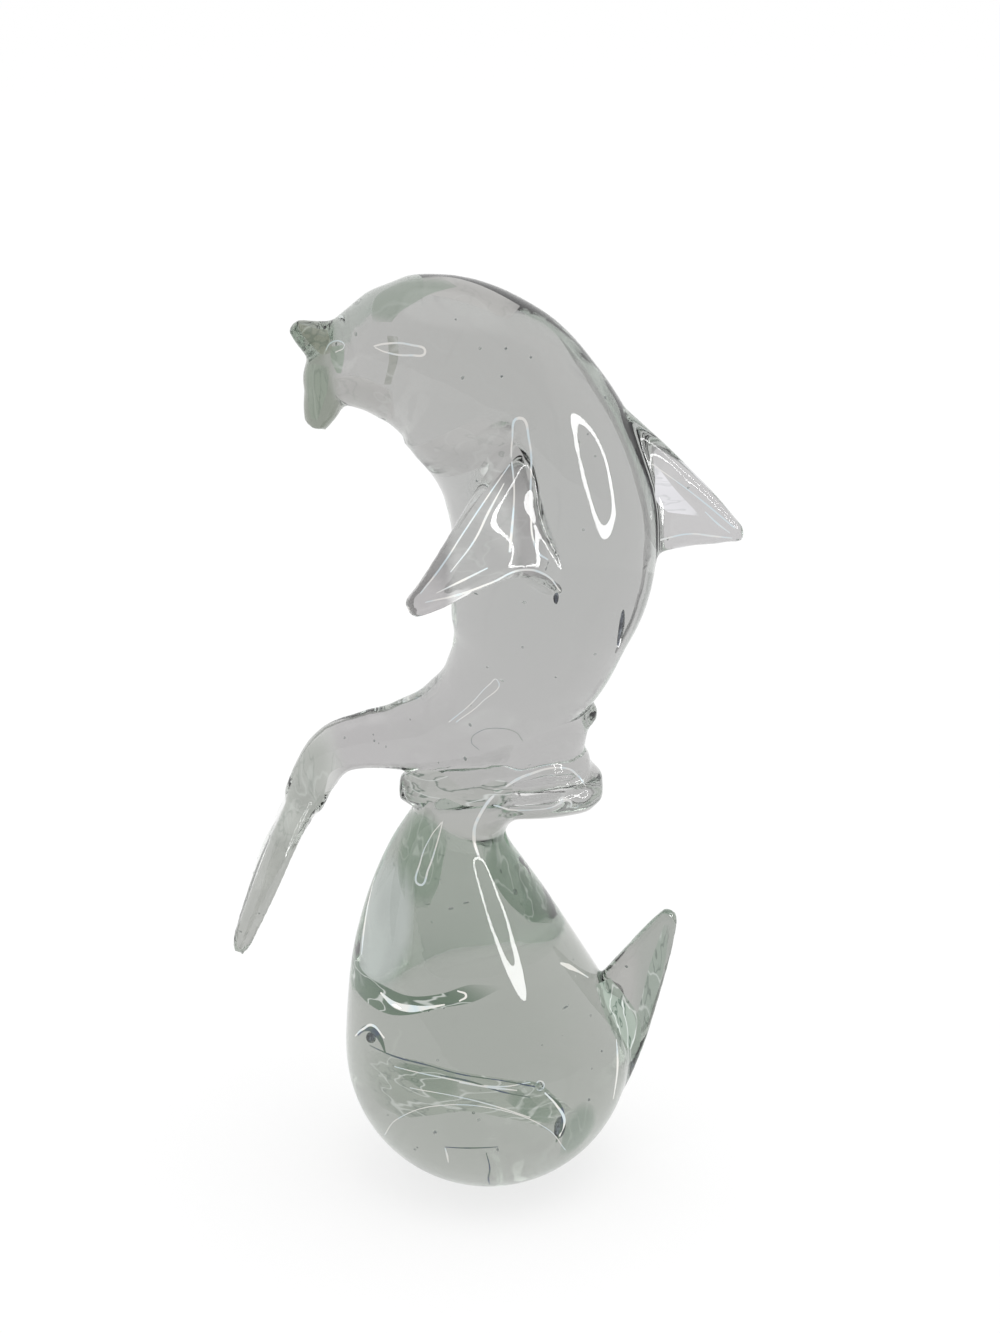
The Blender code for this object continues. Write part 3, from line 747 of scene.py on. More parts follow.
# Painted shade colours of the dark seams
SHADE_LINE_COOL = (0.09, 0.12, 0.19, 1.0)
SHADE_LINE_GREEN = (0.16, 0.22, 0.17, 1.0)
SEAM_PATCHES = 250.0
SEAM_PATCH_EDGE = (0.35, 0.6)
HIGHLIGHT_SEAM_GLOW = 1.3
FAINT_HIGHLIGHT_GLOW = 1.0
SHADE_SEAM_GLOW = 1.0
AIR_PATCHES = (400.0, 0.42, 0.58)
POCKET_PATCHES = (600.0, 0.45, 0.65)
# Painted shade and painted highlight colours of the crinkles in the veils
CRINKLE_DARK = (0.15, 0.21, 0.17, 1.0)
CRINKLE_BRIGHT = (0.95, 1.0, 0.97, 1.0)

# Camera and studio, in metres
CAMERA_LENS = 84.19
CAMERA_TARGET = (0.0025, 0.0, 0.117)
CAMERA_LIFT = math.radians(22)
CAMERA_DISTANCE = 0.65
FLOOR_RADIUS = 5.0
FLOOR_DROP = 0.0002
OVERHEAD_PLACE = (0.2, -0.1, 1.2)
OVERHEAD_TARGET = (0.0, 0.0, 0.1)
OVERHEAD_WIDTH = 0.9
OVERHEAD_POWER = 3.0
FLOOR_GLOW = 0.75
WORLD_BEHIND_CAMERA = 0.6
WORLD_OVERHEAD = 0.7
WORLD_BACK_Y = (-0.9, 0.1)
WORLD_OVERHEAD_Z = (0.80, 0.92)
RING_PLACE = (0.167, -0.102, 0.174)
RING_TARGET = (0.012, -0.018, 0.125)
RING_OUTER = (0.053, 0.0645)
RING_INNER = (0.042, 0.0510)
RING_HOLE_RISE = 0.004
RING_SLANT = 0.35
RING_STEPS = 96
RING_STRENGTH = 14.0
THROUGH_GLASS = 1.5

# Fineness of the meshes
VOXEL = 0.00084
FLOW_STEPS = 8
RING_POINTS = 40
VEIL_RING_POINTS = 10
ROWS_BETWEEN = 8


# Shapes


def new_object(name, data):
    obj = bpy.data.objects.new(name, data)
    bpy.context.scene.collection.objects.link(obj)
    return obj


def evaluated_mesh(obj):
    """The mesh that obj makes with its modifiers, in world space. obj is removed."""
    bpy.context.view_layer.update()
    graph = bpy.context.evaluated_depsgraph_get()
    mesh = bpy.data.meshes.new_from_object(obj.evaluated_get(graph))
    mesh.transform(obj.matrix_world)
    bpy.data.objects.remove(obj)
    return mesh


def limb(name, stations, width_ratio):
    """A round limb whose thickness varies along a smooth path in the middle plane."""
    curve = bpy.data.curves.new(name, "CURVE")
    curve.dimensions = "3D"
    curve.bevel_depth = 1.0
    curve.bevel_resolution = 30
    curve.resolution_u = 16
    curve.use_fill_caps = True
    spline = curve.splines.new("BEZIER")
    spline.radius_interpolation = "CARDINAL"
    spline.bezier_points.add(len(stations) - 1)
    for point, (x, z, diameter) in zip(spline.bezier_points, stations):
        point.co = (x, 0.0, z)
        point.radius = diameter / 2
        point.handle_left_type = "AUTO"
        point.handle_right_type = "AUTO"
    obj = new_object(name, curve)
    obj.scale.y = width_ratio
    return evaluated_mesh(obj)


def ball(name, x, y, z, size, rings=32):
    """An ellipsoid of diameters size at (x, y, z)."""
    bm = bmesh.new()
    place = Matrix.Translation((x, y, z)) @ Matrix.Diagonal((*size, 1.0))
    around = rings * 3 // 2
    bmesh.ops.create_uvsphere(bm, u_segments=around, v_segments=rings, radius=0.5, matrix=place)
    mesh = bpy.data.meshes.new(name)
    bm.to_mesh(mesh)
    bm.free()
    return mesh


def between(rows, index, share):
    """The row at share of the way from rows[index] to the next, on a Catmull-Rom curve."""
    last = len(rows) - 1
    before = rows[max(index - 1, 0)]
    start = rows[index]
    end = rows[min(index + 1, last)]
    after = rows[min(index + 2, last)]
    smooth = []
    for a, b, c, d in zip(before, start, end, after):
        slope_b = (c - a) / 2
        slope_c = (d - b) / 2
        s2 = share * share
        s3 = s2 * share
        value = (2 * s3 - 3 * s2 + 1) * b + (s3 - 2 * s2 + share) * slope_b
        smooth.append(value + (3 * s2 - 2 * s3) * c + (s3 - s2) * slope_c)
    return smooth


def refined(rows):
    """The rows with ROWS_BETWEEN - 1 more between each two of them."""
    fine = []
    for index in range(len(rows) - 1):
        fine += [between(rows, index, step / ROWS_BETWEEN) for step in range(ROWS_BETWEEN)]
    fine.append(list(rows[-1]))
    return fine


def fin(name, rows, ring_points=RING_POINTS):
    """A flat fin from root to tip, with a round rim and dished faces."""
    sections = []
    for row in refined(rows):
        lead = Vector(row[0:3])
        trail = Vector(row[3:6])
        sections.append([(lead + trail) / 2, (lead - trail) / 2, row[6] / 2])
    centre, half_chord, half_thick = sections[-1]
    outward = (centre - sections[-3][0]).normalized()
    for step in (1, 2, 3):
        turn = step * math.pi / 8
        shrink = math.cos(turn)
        past = centre + outward * math.sin(turn) * half_thick
        sections.append([past, half_chord * shrink, half_thick * shrink])
    bm = bmesh.new()
    rings = []
    for index, (centre, half_chord, half_thick) in enumerate(sections):
        ahead = sections[min(index + 1, len(sections) - 1)][0]
        behind = sections[max(index - 1, 0)][0]
        normal = half_chord.cross(ahead - behind).normalized()
        ring = []
        for point in range(ring_points):
            turn = 2 * math.pi * point / ring_points
            rise = abs(math.sin(turn)) ** FIN_FULLNESS
            rise *= 1 - FIN_DISH * math.sin(turn) ** 6
            along = half_chord * math.cos(turn)
            across = normal * math.copysign(half_thick * rise, math.sin(turn))
            ring.append(bm.verts.new(centre + along + across))
        rings.append(ring)
    for ring, following in zip(rings, rings[1:]):
        for point in range(ring_points):
            after = (point + 1) % ring_points
            bm.faces.new((ring[point], ring[after], following[after], following[point]))
    bm.faces.new(rings[0])
    bm.faces.new(reversed(rings[-1]))
    bmesh.ops.recalc_face_normals(bm, faces=bm.faces)
    mesh = bpy.data.meshes.new(name)
    bm.to_mesh(mesh)
    bm.free()
    return mesh


def ball_centre_height():
    return math.sqrt(BASE_RADIUS**2 - REST_FACE_RADIUS**2)


def base():
    """The drop-shaped base: a turned profile whose sections above the ball are pushed sideways."""
    centre = ball_centre_height()
    below = BASE_RADIUS * math.sin(BALL_EDGE_TURN)
    ball_edge = [(centre - below, BASE_RADIUS * math.cos(BALL_EDGE_TURN), 0.0)]
    shoulder = refined(ball_edge + [(centre, BASE_RADIUS, 0.0)] + BASE_SHOULDER)
    shoulder = [row for row in shoulder if row[0] > centre + 0.0001]
    profile = [(0.0, shoulder[-1][0])]
    profile += [(radius, height) for height, radius, _ in reversed(shoulder)]
    steps = 40
    for step in range(steps):
        turn = math.pi / 2 * step / steps
        profile.append((BASE_RADIUS * math.cos(turn), centre - BASE_RADIUS * math.sin(turn)))
    profile.append((0.0, centre - BASE_RADIUS))
    mesh = bpy.data.meshes.new("base")
    edges = [(i, i + 1) for i in range(len(profile) - 1)]
    mesh.from_pydata([(r, 0.0, z) for r, z in profile], edges, [])
    obj = new_object("base", mesh)
    screw = obj.modifiers.new("Turn", "SCREW")
    screw.steps = 96
    screw.render_steps = 96
    screw.use_merge_vertices = True
    screw.merge_threshold = 0.00001
    turned = evaluated_mesh(obj)
    pushes = {round(height, 6): push for height, _, push in shoulder}
    for vertex in turned.vertices:
        vertex.co.x += pushes.get(round(vertex.co.z, 6), 0.0)
    return turned


def far_side(mesh, move):
    """The mirror image of a near-side shape, then moved."""
    mesh.transform(move @ Matrix.Diagonal((1, -1, 1, 1)))
    mesh.flip_normals()
    return mesh


def dolphin():
    """The body, beak, fins and flukes, all in their places."""
    meshes = [limb("body", BODY, BODY_WIDTH_RATIO)]
    meshes.append(limb("upper_lip", UPPER_LIP, LIP_WIDTH_RATIO))
    meshes.append(limb("lower_lip", LOWER_LIP, LIP_WIDTH_RATIO))
    for x, z, diameter in (SEAT, PLIER_NUB):
        meshes.append(ball("seat", x, 0.0, z, (diameter, diameter, diameter)))
    meshes.append(fin("dorsal_fin", DORSAL_FIN))
    meshes.append(fin("near_fin", NEAR_FIN))
    meshes.append(far_side(fin("far_fin", FAR_FIN), Matrix.Identity(4)))
    meshes.append(fin("near_fluke", NEAR_FLUKE))
    turn = Matrix.Rotation(FAR_FLUKE_YAW, 4, "Z") @ Matrix.Rotation(FAR_FLUKE_ROLL, 4, "X")
    tail_end = Matrix.Translation(TAIL_END)
    meshes.append(far_side(fin("far_fluke", NEAR_FLUKE), tail_end @ turn @ tail_end.inverted()))
    return meshes


def wave_crest():
    rows = [(x, 0.0, z, u, 0.0, w, thick) for x, z, u, w, thick in WAVE_CREST]
    return fin("wave_crest", rows)


def ridge(name, points):
    """A round bead along points of x, y, z and thickness."""
    curve = bpy.data.curves.new(name, "CURVE")
    curve.dimensions = "3D"
    curve.bevel_depth = 1.0
    curve.bevel_resolution = 2
    curve.resolution_u = 7
    curve.use_fill_caps = True
    spline = curve.splines.new("BEZIER")
    spline.bezier_points.add(len(points) - 1)
    for point, (x, y, z, thickness) in zip(spline.bezier_points, points):
        point.co = (x, y, z)
        point.radius = thickness / 2
        point.handle_left_type = "AUTO"
        point.handle_right_type = "AUTO"
    return evaluated_mesh(new_object(name, curve))


def collar():
    """The squashed top of the base, with the folds that pressing the dolphin on made."""
    shapes = [limb("collar", COLLAR, COLLAR_WIDTH_RATIO)]
    shapes.append(limb("collar_shoulder", COLLAR_SHOULDER, COLLAR_SHOULDER_WIDTH_RATIO))
    shapes += [ridge("collar_ridge", points) for points in COLLAR_RIDGES]
    return shapes


def seeds(skin, wall):
    """Small air bubbles scattered under the skin, as one mesh."""
    group = bpy.data.node_groups.new("air_seeds", "GeometryNodeTree")
    faces = group.interface
    faces.new_socket("Geometry", in_out="INPUT", socket_type="NodeSocketGeometry")
    density = faces.new_socket("Density", in_out="INPUT", socket_type="NodeSocketFloat")
    faces.new_socket("Geometry", in_out="OUTPUT", socket_type="NodeSocketGeometry")
    tree = Shading(group)
    given = tree.node("NodeGroupInput", {}, out=None)
    skin_in = Signal(tree, given.outputs["Geometry"])
    spread = tree.node(
        "GeometryNodeDistributePointsOnFaces",
        {},
        skin_in,
        Density=Signal(tree, given.outputs["Density"]),
        Seed=7,
        out=None,
    )
    normal = Signal(tree, spread.outputs["Normal"])
    inward = tree.node("ShaderNodeVectorMath", {"operation": "SCALE"}, normal, Scale=-1.0)
    start = tree.node("ShaderNodeVectorMath", {"operation": "SCALE"}, normal, Scale=-SEED_START)
    place = tree.node("GeometryNodeInputPosition", {})
    start = tree.node("ShaderNodeVectorMath", {"operation": "ADD"}, place, start)
    through = tree.node(
        "GeometryNodeRaycast", {}, skin_in, Source_Position=start, Ray_Direction=inward, out=None
    )
    glass_depth = Signal(tree, through.outputs["Hit Distance"]).math("MINIMUM", SEED_REACH)
    share = tree.node(
        "FunctionNodeRandomValue", {"data_type": "FLOAT"}, None, None, *SEED_DEPTH, Seed=3, out=1
    )
    offset = tree.node(
        "ShaderNodeVectorMath", {"operation": "SCALE"}, inward, Scale=share * glass_depth
    )
    sunk = tree.node("GeometryNodeSetPosition", {}, Signal(tree, spread.outputs["Points"]), Offset=offset)
    size = tree.node(
        "FunctionNodeRandomValue", {"data_type": "FLOAT"}, None, None, *SEED_SIZE, Seed=5, out=1
    )
    bubble = tree.node("GeometryNodeMeshIcoSphere", {}, 0.5, 2)
    placed = tree.node("GeometryNodeInstanceOnPoints", {}, sunk, Instance=bubble, Scale=size)
    real = tree.node("GeometryNodeRealizeInstances", {}, placed)
    walled = tree.node("GeometryNodeSetMaterial", {}, real, Material=wall)
    tree.node("NodeGroupOutput", {}, walled, out=None)
    holder = new_object("seeds", skin.copy())
    area = sum(face.area for face in skin.polygons)
    modifier = holder.modifiers.new("Seeds", "NODES")
    modifier.node_group = group
    modifier[density.identifier] = SEED_COUNT / area
    return evaluated_mesh(holder)


def with_insides(skin, wall):
    """The skin with all that is closed inside the glass. Walls of air face inwards."""
    kinds = {
        AIR: [ball("bubble", *place[:3], place[3:], 12) for place in BUBBLES] + [seeds(skin, wall)],
        # Pockets with painted shade on their walls
        SHADED_AIR: [ball("pocket", *place[:3], place[3:], 12) for place in SHADED_POCKETS],
        # Seams that glow with painted highlight, then with painted shade
        HIGHLIGHT_SEAM: [ridge("seam", points) for points in HIGHLIGHT_SEAMS],
        FAINT_HIGHLIGHT_SEAM: [ridge("faint_painted_highlight_seam", points) for points in FAINT_HIGHLIGHT_SEAMS],
        SHADE_SEAM: [ridge("painted_shade_seam", points) for points in SHADE_SEAMS],
    }
    # Veils of painted shade and painted light
    for index, (name, traits) in enumerate(SHADE_AND_LIGHT_VEILS.items()):
        rows = [(*row, VEIL_THICKNESS) for row in traits[-1]]
        kinds[FIRST_VEIL + index] = [fin(name, rows, VEIL_RING_POINTS)]
    whole = bmesh.new()
    for kind, meshes in kinds.items():
        bm = bmesh.new()
        for mesh in meshes:
            bm.from_mesh(mesh)
        bmesh.ops.recalc_face_normals(bm, faces=bm.faces)
        if kind in (AIR, SHADED_AIR):
            bmesh.ops.reverse_faces(bm, faces=bm.faces)
        for face in bm.faces:
            face.material_index = kind
        closed = bpy.data.meshes.new("closed_inside")
        bm.to_mesh(closed)
        bm.free()
        whole.from_mesh(closed)
    whole.from_mesh(skin)
    whole.to_mesh(skin)
    whole.free()
    return skin


def fused(meshes):
    """One closed skin round all the shapes, with the joints flowed together as hot glass does."""
    bm = bmesh.new()
    for mesh in meshes:
        bm.from_mesh(mesh)
        bpy.data.meshes.remove(mesh)
    whole = bpy.data.meshes.new("fused")
    bm.to_mesh(whole)
    bm.free()
    obj = new_object("fused", whole)
    remesh = obj.modifiers.new("Fuse", "REMESH")
    remesh.mode = "VOXEL"
    remesh.voxel_size = VOXEL
    flow = obj.modifiers.new("Flow", "SMOOTH")
    flow.factor = 0.5
    flow.iterations = FLOW_STEPS
    return evaluated_mesh(obj)


def ground_flat(mesh):
    """Grinds the underside to the flat rest face at z = 0."""
    bm = bmesh.new()
    bm.from_mesh(mesh)
    everything = list(bm.verts) + list(bm.edges) + list(bm.faces)
    cut = bmesh.ops.bisect_plane(
        bm, geom=everything, plane_co=(0, 0, 0), plane_no=(0, 0, 1), clear_inner=True
    )
    rim = [e for e in cut["geom_cut"] if isinstance(e, bmesh.types.BMEdge)]
    bmesh.ops.edgeloop_fill(bm, edges=rim)
    bmesh.ops.triangulate(bm, faces=[f for f in bm.faces if len(f.verts) > 4])
    bmesh.ops.recalc_face_normals(bm, faces=bm.faces)
    bm.to_mesh(mesh)
    bm.free()
    return mesh


# Materials


class Signal:
    """A socket of a material's tree. Operators on it add Math nodes."""

    def __init__(self, tree, socket):
        self.tree = tree
        self.socket = socket

    def math(self, operation, other):
        return self.tree.node("ShaderNodeMath", {"operation": operation}, self, other)

    def __add__(self, other):
        return self.math("ADD", other)

    __radd__ = __add__

    def __mul__(self, other):
        return self.math("MULTIPLY", other)

    __rmul__ = __mul__


class Shading:
    """Builds the nodes of one material or world."""

    def __init__(self, owner):
        tree = owner
        if not isinstance(owner, bpy.types.NodeTree):
            owner.use_nodes = True
            tree = owner.node_tree
        self.nodes = tree.nodes
        self.links = tree.links
        self.nodes.clear()

    def node(self, kind, settings, *values, out=0, **named):
        made = self.nodes.new(kind)
        for name, value in settings.items():
            setattr(made, name, value)
        for index, value in enumerate(values):
            self.feed(made.inputs[index], value)
        for name, value in named.items():
            self.feed(made.inputs[name.replace("_", " ")], value)
        if out is None:
            return made
        return Signal(self, made.outputs[out])

    def feed(self, socket, value):
        if isinstance(value, Signal):
            self.links.new(value.socket, socket)
        elif value is not None:
            socket.default_value = value


def blend(shading, share, first, second):
    return shading.node(
        "ShaderNodeMix", {"data_type": "RGBA"}, share, *[None] * 5, first, second, out=2
    )


def zone(shading, place, start, end):
    """A share that eases from 0 at start to 1 at end."""
    easing = {"interpolation_type": "SMOOTHSTEP"}
    return shading.node("ShaderNodeMapRange", easing, place, start, end, 0.0, 1.0)


def figurine_glass():
    """Clear glass, greener and darker where it is thick or folded, its colour holding painted shade and
    painted light part by part.
    """
    material = bpy.data.materials.new("figurine_glass")
    shading = Shading(material)
    coords = shading.node("ShaderNodeTexCoord", {}, out=3)
    axes = shading.node("ShaderNodeSeparateXYZ", {}, coords, out=None)
    x, y, z = (Signal(shading, axes.outputs[axis]) for axis in "XYZ")
    # Painted shade and light: each part's colour is set darker or lighter to stand in for how light
    # passes through the glass there
    tint_and_shade = blend(shading, zone(shading, z, *HEAD_Z), BODY_TINT_AND_SHADE, HEAD_TINT_AND_SHADE)
    lips = zone(shading, x, *LIPS_X) * zone(shading, z, *LIPS_Z)
    tint_and_shade = blend(shading, lips, tint_and_shade, LIP_TINT_AND_SHADE)
    tint_and_shade = blend(shading, zone(shading, z, *BASE_Z), tint_and_shade, BASE_TINT_AND_SHADE)
    crest = zone(shading, x, *CREST_X) * zone(shading, z, *CREST_Z)
    tint_and_shade = blend(shading, crest, tint_and_shade, CREST_TINT_AND_SHADE)
    tail = zone(shading, x, *TAIL_X) * zone(shading, z, *TAIL_Z)
    tint_and_shade = blend(shading, tail, tint_and_shade, TAIL_TINT_AND_SHADE)
    fins = zone(shading, z, *FINS_FROM_Z) * zone(shading, z, *FINS_TO_Z)
    near = zone(shading, x, *NEAR_FIN_FROM_X) * zone(shading, x, *NEAR_FIN_TO_X)
    near = near * zone(shading, y, *NEAR_FIN_Y) * fins
    tint_and_shade = blend(shading, near, tint_and_shade, NEAR_FIN_TINT_AND_LIGHT)
    tint_and_shade = blend(shading, zone(shading, x, *DORSAL_X) * fins, tint_and_shade, DORSAL_TINT_AND_LIGHT)
    tint_and_shade = blend(shading, zone(shading, y, *FAR_FIN_Y) * fins, tint_and_shade, FAR_FIN_TINT_AND_LIGHT)
    tint_and_shade = blend(shading, zone(shading, y, *FAR_FLUKE_Y) * tail, tint_and_shade, FAR_FLUKE_TINT_AND_LIGHT)
    swirl = shading.node("ShaderNodeTexNoise", {}, coords, None, SWIRL_SCALE, 2.0, 0.5)
    bump = shading.node("ShaderNodeBump", {}, Strength=SWIRL_STRENGTH, Distance=0.001, Height=swirl)
    ground = zone(shading, z, *GROUND_Z) * GROUND_ROUGHNESS
    shader = shading.node(
        "ShaderNodeBsdfPrincipled",
        {},
        Base_Color=tint_and_shade,
        Roughness=ground,
        IOR=GLASS_IOR,
        Transmission_Weight=1.0,
        Normal=bump,
    )
    depth = shading.node("ShaderNodeVolumeAbsorption", {}, Color=DEPTH_COLOUR, Density=DEPTH_DENSITY)
    shading.node("ShaderNodeOutputMaterial", {}, shader, depth, out=None)
    return material


def closed_wall(name, dark, light, size, low, high):
    """The wall of something closed inside the glass, in patches. size is how many to a metre."""
    material = bpy.data.materials.new(name)
    shading = Shading(material)
    coords = shading.node("ShaderNodeTexCoord", {}, out=3)
    patches = shading.node("ShaderNodeTexNoise", {}, coords, None, size, 2.0, 0.5)
    shade = blend(shading, zone(shading, patches, low, high), dark, light)
    shader = shading.node(
        "ShaderNodeBsdfPrincipled",
        {},
        Base_Color=shade,
        Roughness=0.0,
        IOR=GLASS_IOR,
        Transmission_Weight=1.0,
    )
    shading.node("ShaderNodeOutputMaterial", {}, shader, out=None)
    return material


def seam(name, first, second, strength):
    """A thin seam that gives off its own colours, as a painted highlight, or as painted shade where they
    are dark.
    """
    material = bpy.data.materials.new(name)
    shading = Shading(material)
    coords = shading.node("ShaderNodeTexCoord", {}, out=3)
    patches = shading.node("ShaderNodeTexNoise", {}, coords, None, SEAM_PATCHES, 2.0, 0.5)
    glint = blend(shading, zone(shading, patches, *SEAM_PATCH_EDGE), first, second)
    shader = shading.node(
        "ShaderNodeBsdfPrincipled",
        {},
        Base_Color=(0.0, 0.0, 0.0, 1.0),
        Roughness=1.0,
        Specular_IOR_Level=0.0,
        Emission_Color=glint,
        Emission_Strength=strength,
    )
    shading.node("ShaderNodeOutputMaterial", {}, shader, out=None)
    return material


def shade_and_light_veil(name, colour, crinkles, opacity, grain, centre, reach):
    """A glowing sheet of painted shade or painted light, with fine crinkles of painted highlight and
    painted shade in it, that fades out at its edges.
    """
    material = bpy.data.materials.new(name)
    shading = Shading(material)
    coords = shading.node("ShaderNodeTexCoord", {}, out=3)
    inside = {"vector_type": "TEXTURE"}
    from_centre = shading.node("ShaderNodeMapping", inside, coords, centre, None, reach)
    distance = shading.node("ShaderNodeVectorMath", {"operation": "LENGTH"}, from_centre, out=1)
    along = shading.node("ShaderNodeMapping", {}, coords, None, None, grain)
    swell = shading.node("ShaderNodeTexNoise", {}, along, None, VEIL_SWELL, 1.5, 0.5)
    fine = shading.node("ShaderNodeTexNoise", {}, along, None, VEIL_FINE, 2.0, 0.5)
    broad = shading.node("ShaderNodeTexNoise", {}, along, None, VEIL_BROAD, 1.0, 0.5)
    # Painted highlight crinkles, then painted shade crinkles
    bright = zone(shading, (swell + -0.5).math("ABSOLUTE", None), *BRIGHT_CRINKLE_WIDTH) * crinkles
    dark = zone(shading, (fine + -0.44).math("ABSOLUTE", None), *DARK_CRINKLE_WIDTH) * crinkles
    deeper = tuple(channel * VEIL_DEPTH for channel in colour)
    shade = blend(shading, zone(shading, broad, *BROAD_PATCHES), (*deeper, 1.0), (*colour, 1.0))
    shade = blend(shading, dark, shade, CRINKLE_DARK)
    shade = blend(shading, bright, shade, CRINKLE_BRIGHT)
    # The sheet gives off its painted shade or light as its own glow
    shader = shading.node(
        "ShaderNodeBsdfPrincipled",
        {},
        Base_Color=(0.0, 0.0, 0.0, 1.0),
        Roughness=1.0,
        Specular_IOR_Level=0.0,
        Emission_Color=shade,
        Emission_Strength=1.0,
        Alpha=zone(shading, distance, *VEIL_FADE) * opacity,
    )
    shading.node("ShaderNodeOutputMaterial", {}, shader, out=None)
    return material


# Studio


def look_at(location, target):
    direction = Vector(target) - Vector(location)
    return direction.to_track_quat("-Z", "Y").to_euler()


def camera():
    data = bpy.data.cameras.new("camera")
    data.lens = CAMERA_LENS
    data.sensor_width = 36.0
    data.clip_start = 0.01
    data.clip_end = 20.0
    obj = new_object("camera", data)
    away = Vector((0.0, -math.cos(CAMERA_LIFT), math.sin(CAMERA_LIFT)))
    obj.location = Vector(CAMERA_TARGET) + CAMERA_DISTANCE * away
    obj.rotation_euler = look_at(obj.location, CAMERA_TARGET)
    bpy.context.scene.camera = obj


def floor_paper():
    """White paper that shows white to the camera and in the glass, and keeps most of the shadow."""
    material = bpy.data.materials.new("floor_paper")
    shading = Shading(material)
    path = shading.node("ShaderNodeLightPath", {}, out=None)
    camera_ray = Signal(shading, path.outputs["Is Camera Ray"])
    glossy_ray = Signal(shading, path.outputs["Is Glossy Ray"])
    clear_ray = Signal(shading, path.outputs["Is Transmission Ray"])
    shown = camera_ray + glossy_ray + clear_ray
    paper = shading.node("ShaderNodeBsdfDiffuse", {}, Color=(0.9, 0.9, 0.9, 1.0))
    white = shading.node("ShaderNodeEmission", {}, Color=(1, 1, 1, 1), Strength=1.0)
    both = shading.node("ShaderNodeMixShader", {}, shown * FLOOR_GLOW, paper, white)
    shading.node("ShaderNodeOutputMaterial", {}, both, out=None)
    return material


def glow(strength):
    """A lamp that mirrors in the surface of the glass, and shows faintly through it."""
    material = bpy.data.materials.new("lamp_glow")
    shading = Shading(material)
    path = shading.node("ShaderNodeLightPath", {}, out=None)
    mirrored = Signal(shading, path.outputs["Transmission Depth"]).math("LESS_THAN", 0.5)
    power = mirrored * (strength - THROUGH_GLASS) + THROUGH_GLASS
    light = shading.node("ShaderNodeEmission", {}, Color=(1, 1, 1, 1), Strength=power)
    shading.node("ShaderNodeOutputMaterial", {}, light, out=None)
    return material


def lamp_ring(name, location, target, outer, inner, strength):
    """A flat oval ring of light, seen only in the glass. outer and inner are half widths and heights."""
    slant = Matrix.Identity(4)
    slant[0][1] = RING_SLANT
    bm = bmesh.new()
    pairs = []
    for step in range(RING_STEPS):
        turn = 2 * math.pi * step / RING_STEPS
        rim = bm.verts.new((outer[0] * math.cos(turn), outer[1] * math.sin(turn), 0))
        rise = inner[1] * math.sin(turn) + RING_HOLE_RISE
        hole = bm.verts.new((inner[0] * math.cos(turn), rise, 0))
        pairs.append((rim, hole))
    for index, (rim, hole) in enumerate(pairs):
        next_rim, next_hole = pairs[(index + 1) % RING_STEPS]
        bm.faces.new((hole, rim, next_rim, next_hole))
    mesh = bpy.data.meshes.new(name)
    bm.to_mesh(mesh)
    bm.free()
    mesh.transform(slant)
    mesh.materials.append(glow(strength))
    lamp = new_object(name, mesh)
    lamp.location = location
    lamp.rotation_euler = look_at(location, target)
    lamp.visible_camera = False
    lamp.visible_diffuse = False
    lamp.visible_shadow = False


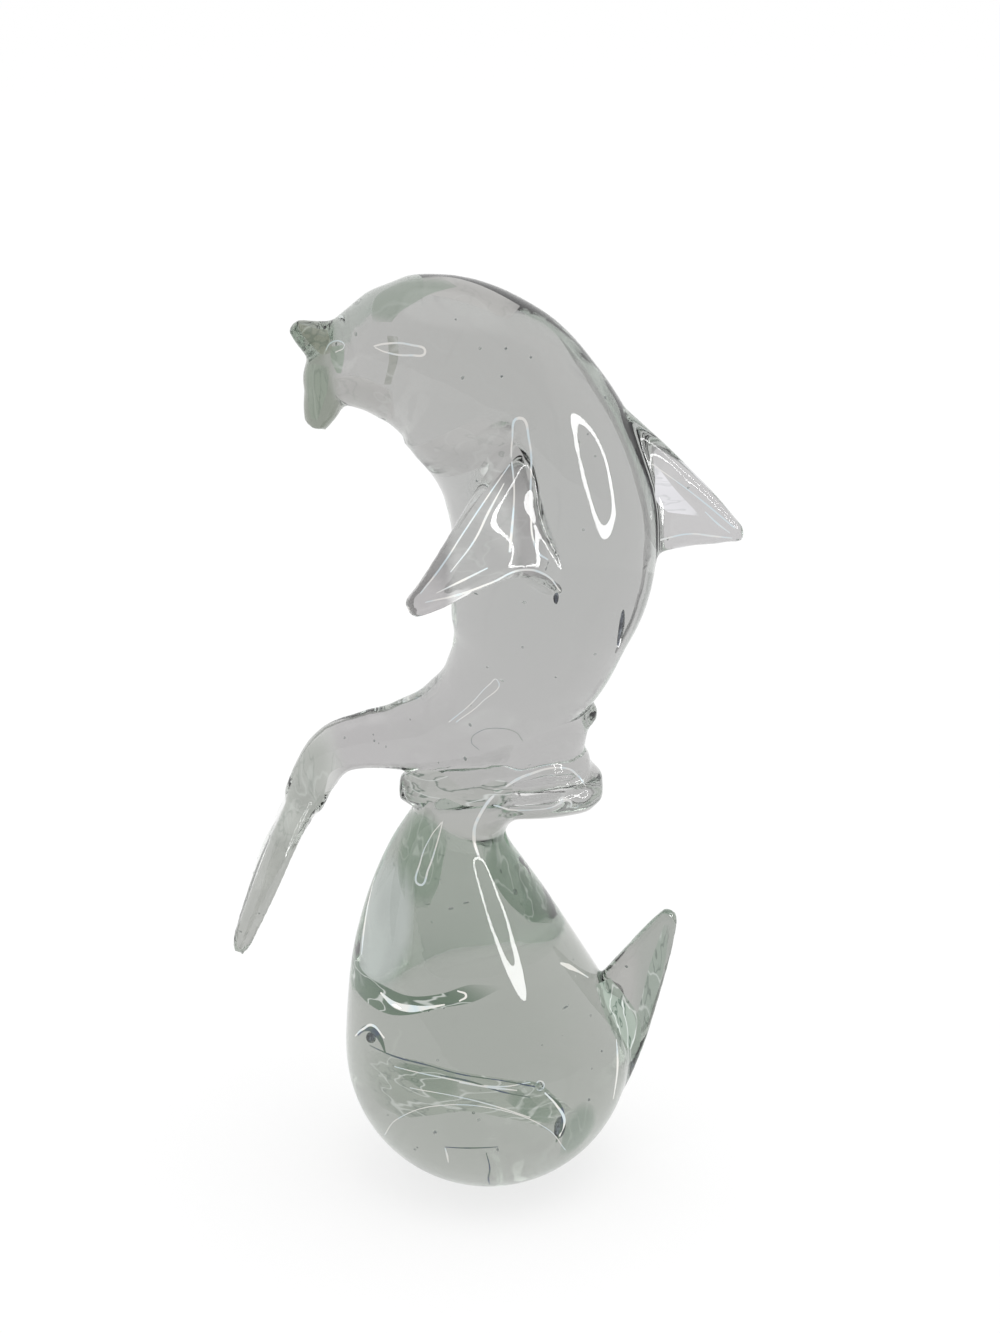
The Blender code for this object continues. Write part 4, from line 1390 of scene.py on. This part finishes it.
def stage():
    bm = bmesh.new()
    bmesh.ops.create_circle(bm, cap_ends=True, segments=64, radius=FLOOR_RADIUS)
    floor_mesh = bpy.data.meshes.new("floor")
    bm.to_mesh(floor_mesh)
    bm.free()
    floor_mesh.materials.append(floor_paper())
    floor = new_object("floor", floor_mesh)
    floor.location.z = -FLOOR_DROP
    lamp_ring("ring_lamp", RING_PLACE, RING_TARGET, RING_OUTER, RING_INNER, RING_STRENGTH)

    world = bpy.data.worlds.new("studio")
    bpy.context.scene.world = world
    shading = Shading(world)
    coords = shading.node("ShaderNodeTexCoord", {}, out=0)
    axes = shading.node("ShaderNodeSeparateXYZ", {}, coords, out=None)
    towards_back = zone(shading, Signal(shading, axes.outputs["Y"]), *WORLD_BACK_Y)
    overhead = zone(shading, Signal(shading, axes.outputs["Z"]), *WORLD_OVERHEAD_Z)
    strength = towards_back * (1 - WORLD_BEHIND_CAMERA) + WORLD_BEHIND_CAMERA
    strength = strength + overhead * WORLD_OVERHEAD
    background = shading.node("ShaderNodeBackground", {}, Color=(1, 1, 1, 1), Strength=strength)
    shading.node("ShaderNodeOutputWorld", {}, background, out=None)

    key = bpy.data.lights.new("overhead", "AREA")
    key.shape = "DISK"
    key.size = OVERHEAD_WIDTH
    key.energy = OVERHEAD_POWER
    key_lamp = new_object("overhead", key)
    key_lamp.visible_glossy = False
    key_lamp.location = OVERHEAD_PLACE
    key_lamp.rotation_euler = look_at(OVERHEAD_PLACE, OVERHEAD_TARGET)


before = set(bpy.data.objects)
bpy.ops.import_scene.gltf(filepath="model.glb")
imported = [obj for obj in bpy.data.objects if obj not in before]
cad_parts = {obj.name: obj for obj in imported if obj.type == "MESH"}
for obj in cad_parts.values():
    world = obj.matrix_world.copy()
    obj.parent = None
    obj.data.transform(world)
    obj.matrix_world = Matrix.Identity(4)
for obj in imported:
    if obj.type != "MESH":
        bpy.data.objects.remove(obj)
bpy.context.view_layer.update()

air_wall = closed_wall("air_wall", AIR_DARK, AIR_LIGHT, *AIR_PATCHES)
solid = ground_flat(fused([base(), wave_crest(), *collar(), *dolphin()]))
skin = with_insides(solid, air_wall)
skin.name = "glass_dolphin"
skin.materials.append(figurine_glass())
skin.materials.append(air_wall)
# Pocket walls of painted shade
skin.materials.append(closed_wall("shaded_pocket_wall", POCKET_SHADE, POCKET_LIGHT, *POCKET_PATCHES))
# Seams of painted highlight, faint painted highlight and painted shade
skin.materials.append(seam("painted_highlight_seam", HIGHLIGHT_COOL, HIGHLIGHT_WARM, HIGHLIGHT_SEAM_GLOW))
skin.materials.append(seam("faint_painted_highlight_seam", HIGHLIGHT_COOL, HIGHLIGHT_WARM, FAINT_HIGHLIGHT_GLOW))
skin.materials.append(seam("painted_shade_seam", SHADE_LINE_COOL, SHADE_LINE_GREEN, SHADE_SEAM_GLOW))
# Veils of painted shade and painted light
for name, traits in SHADE_AND_LIGHT_VEILS.items():
    skin.materials.append(shade_and_light_veil(name, *traits[:-1]))
skin.shade_smooth()
glass_dolphin = new_object("glass_dolphin", skin)
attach(glass_dolphin, "root")
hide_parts("dolphin_figurine")

camera()
stage()

scene = bpy.context.scene
scene.view_settings.view_transform = "Standard"
scene.cycles.max_bounces = 64
scene.cycles.transmission_bounces = 48
scene.cycles.transparent_max_bounces = 24
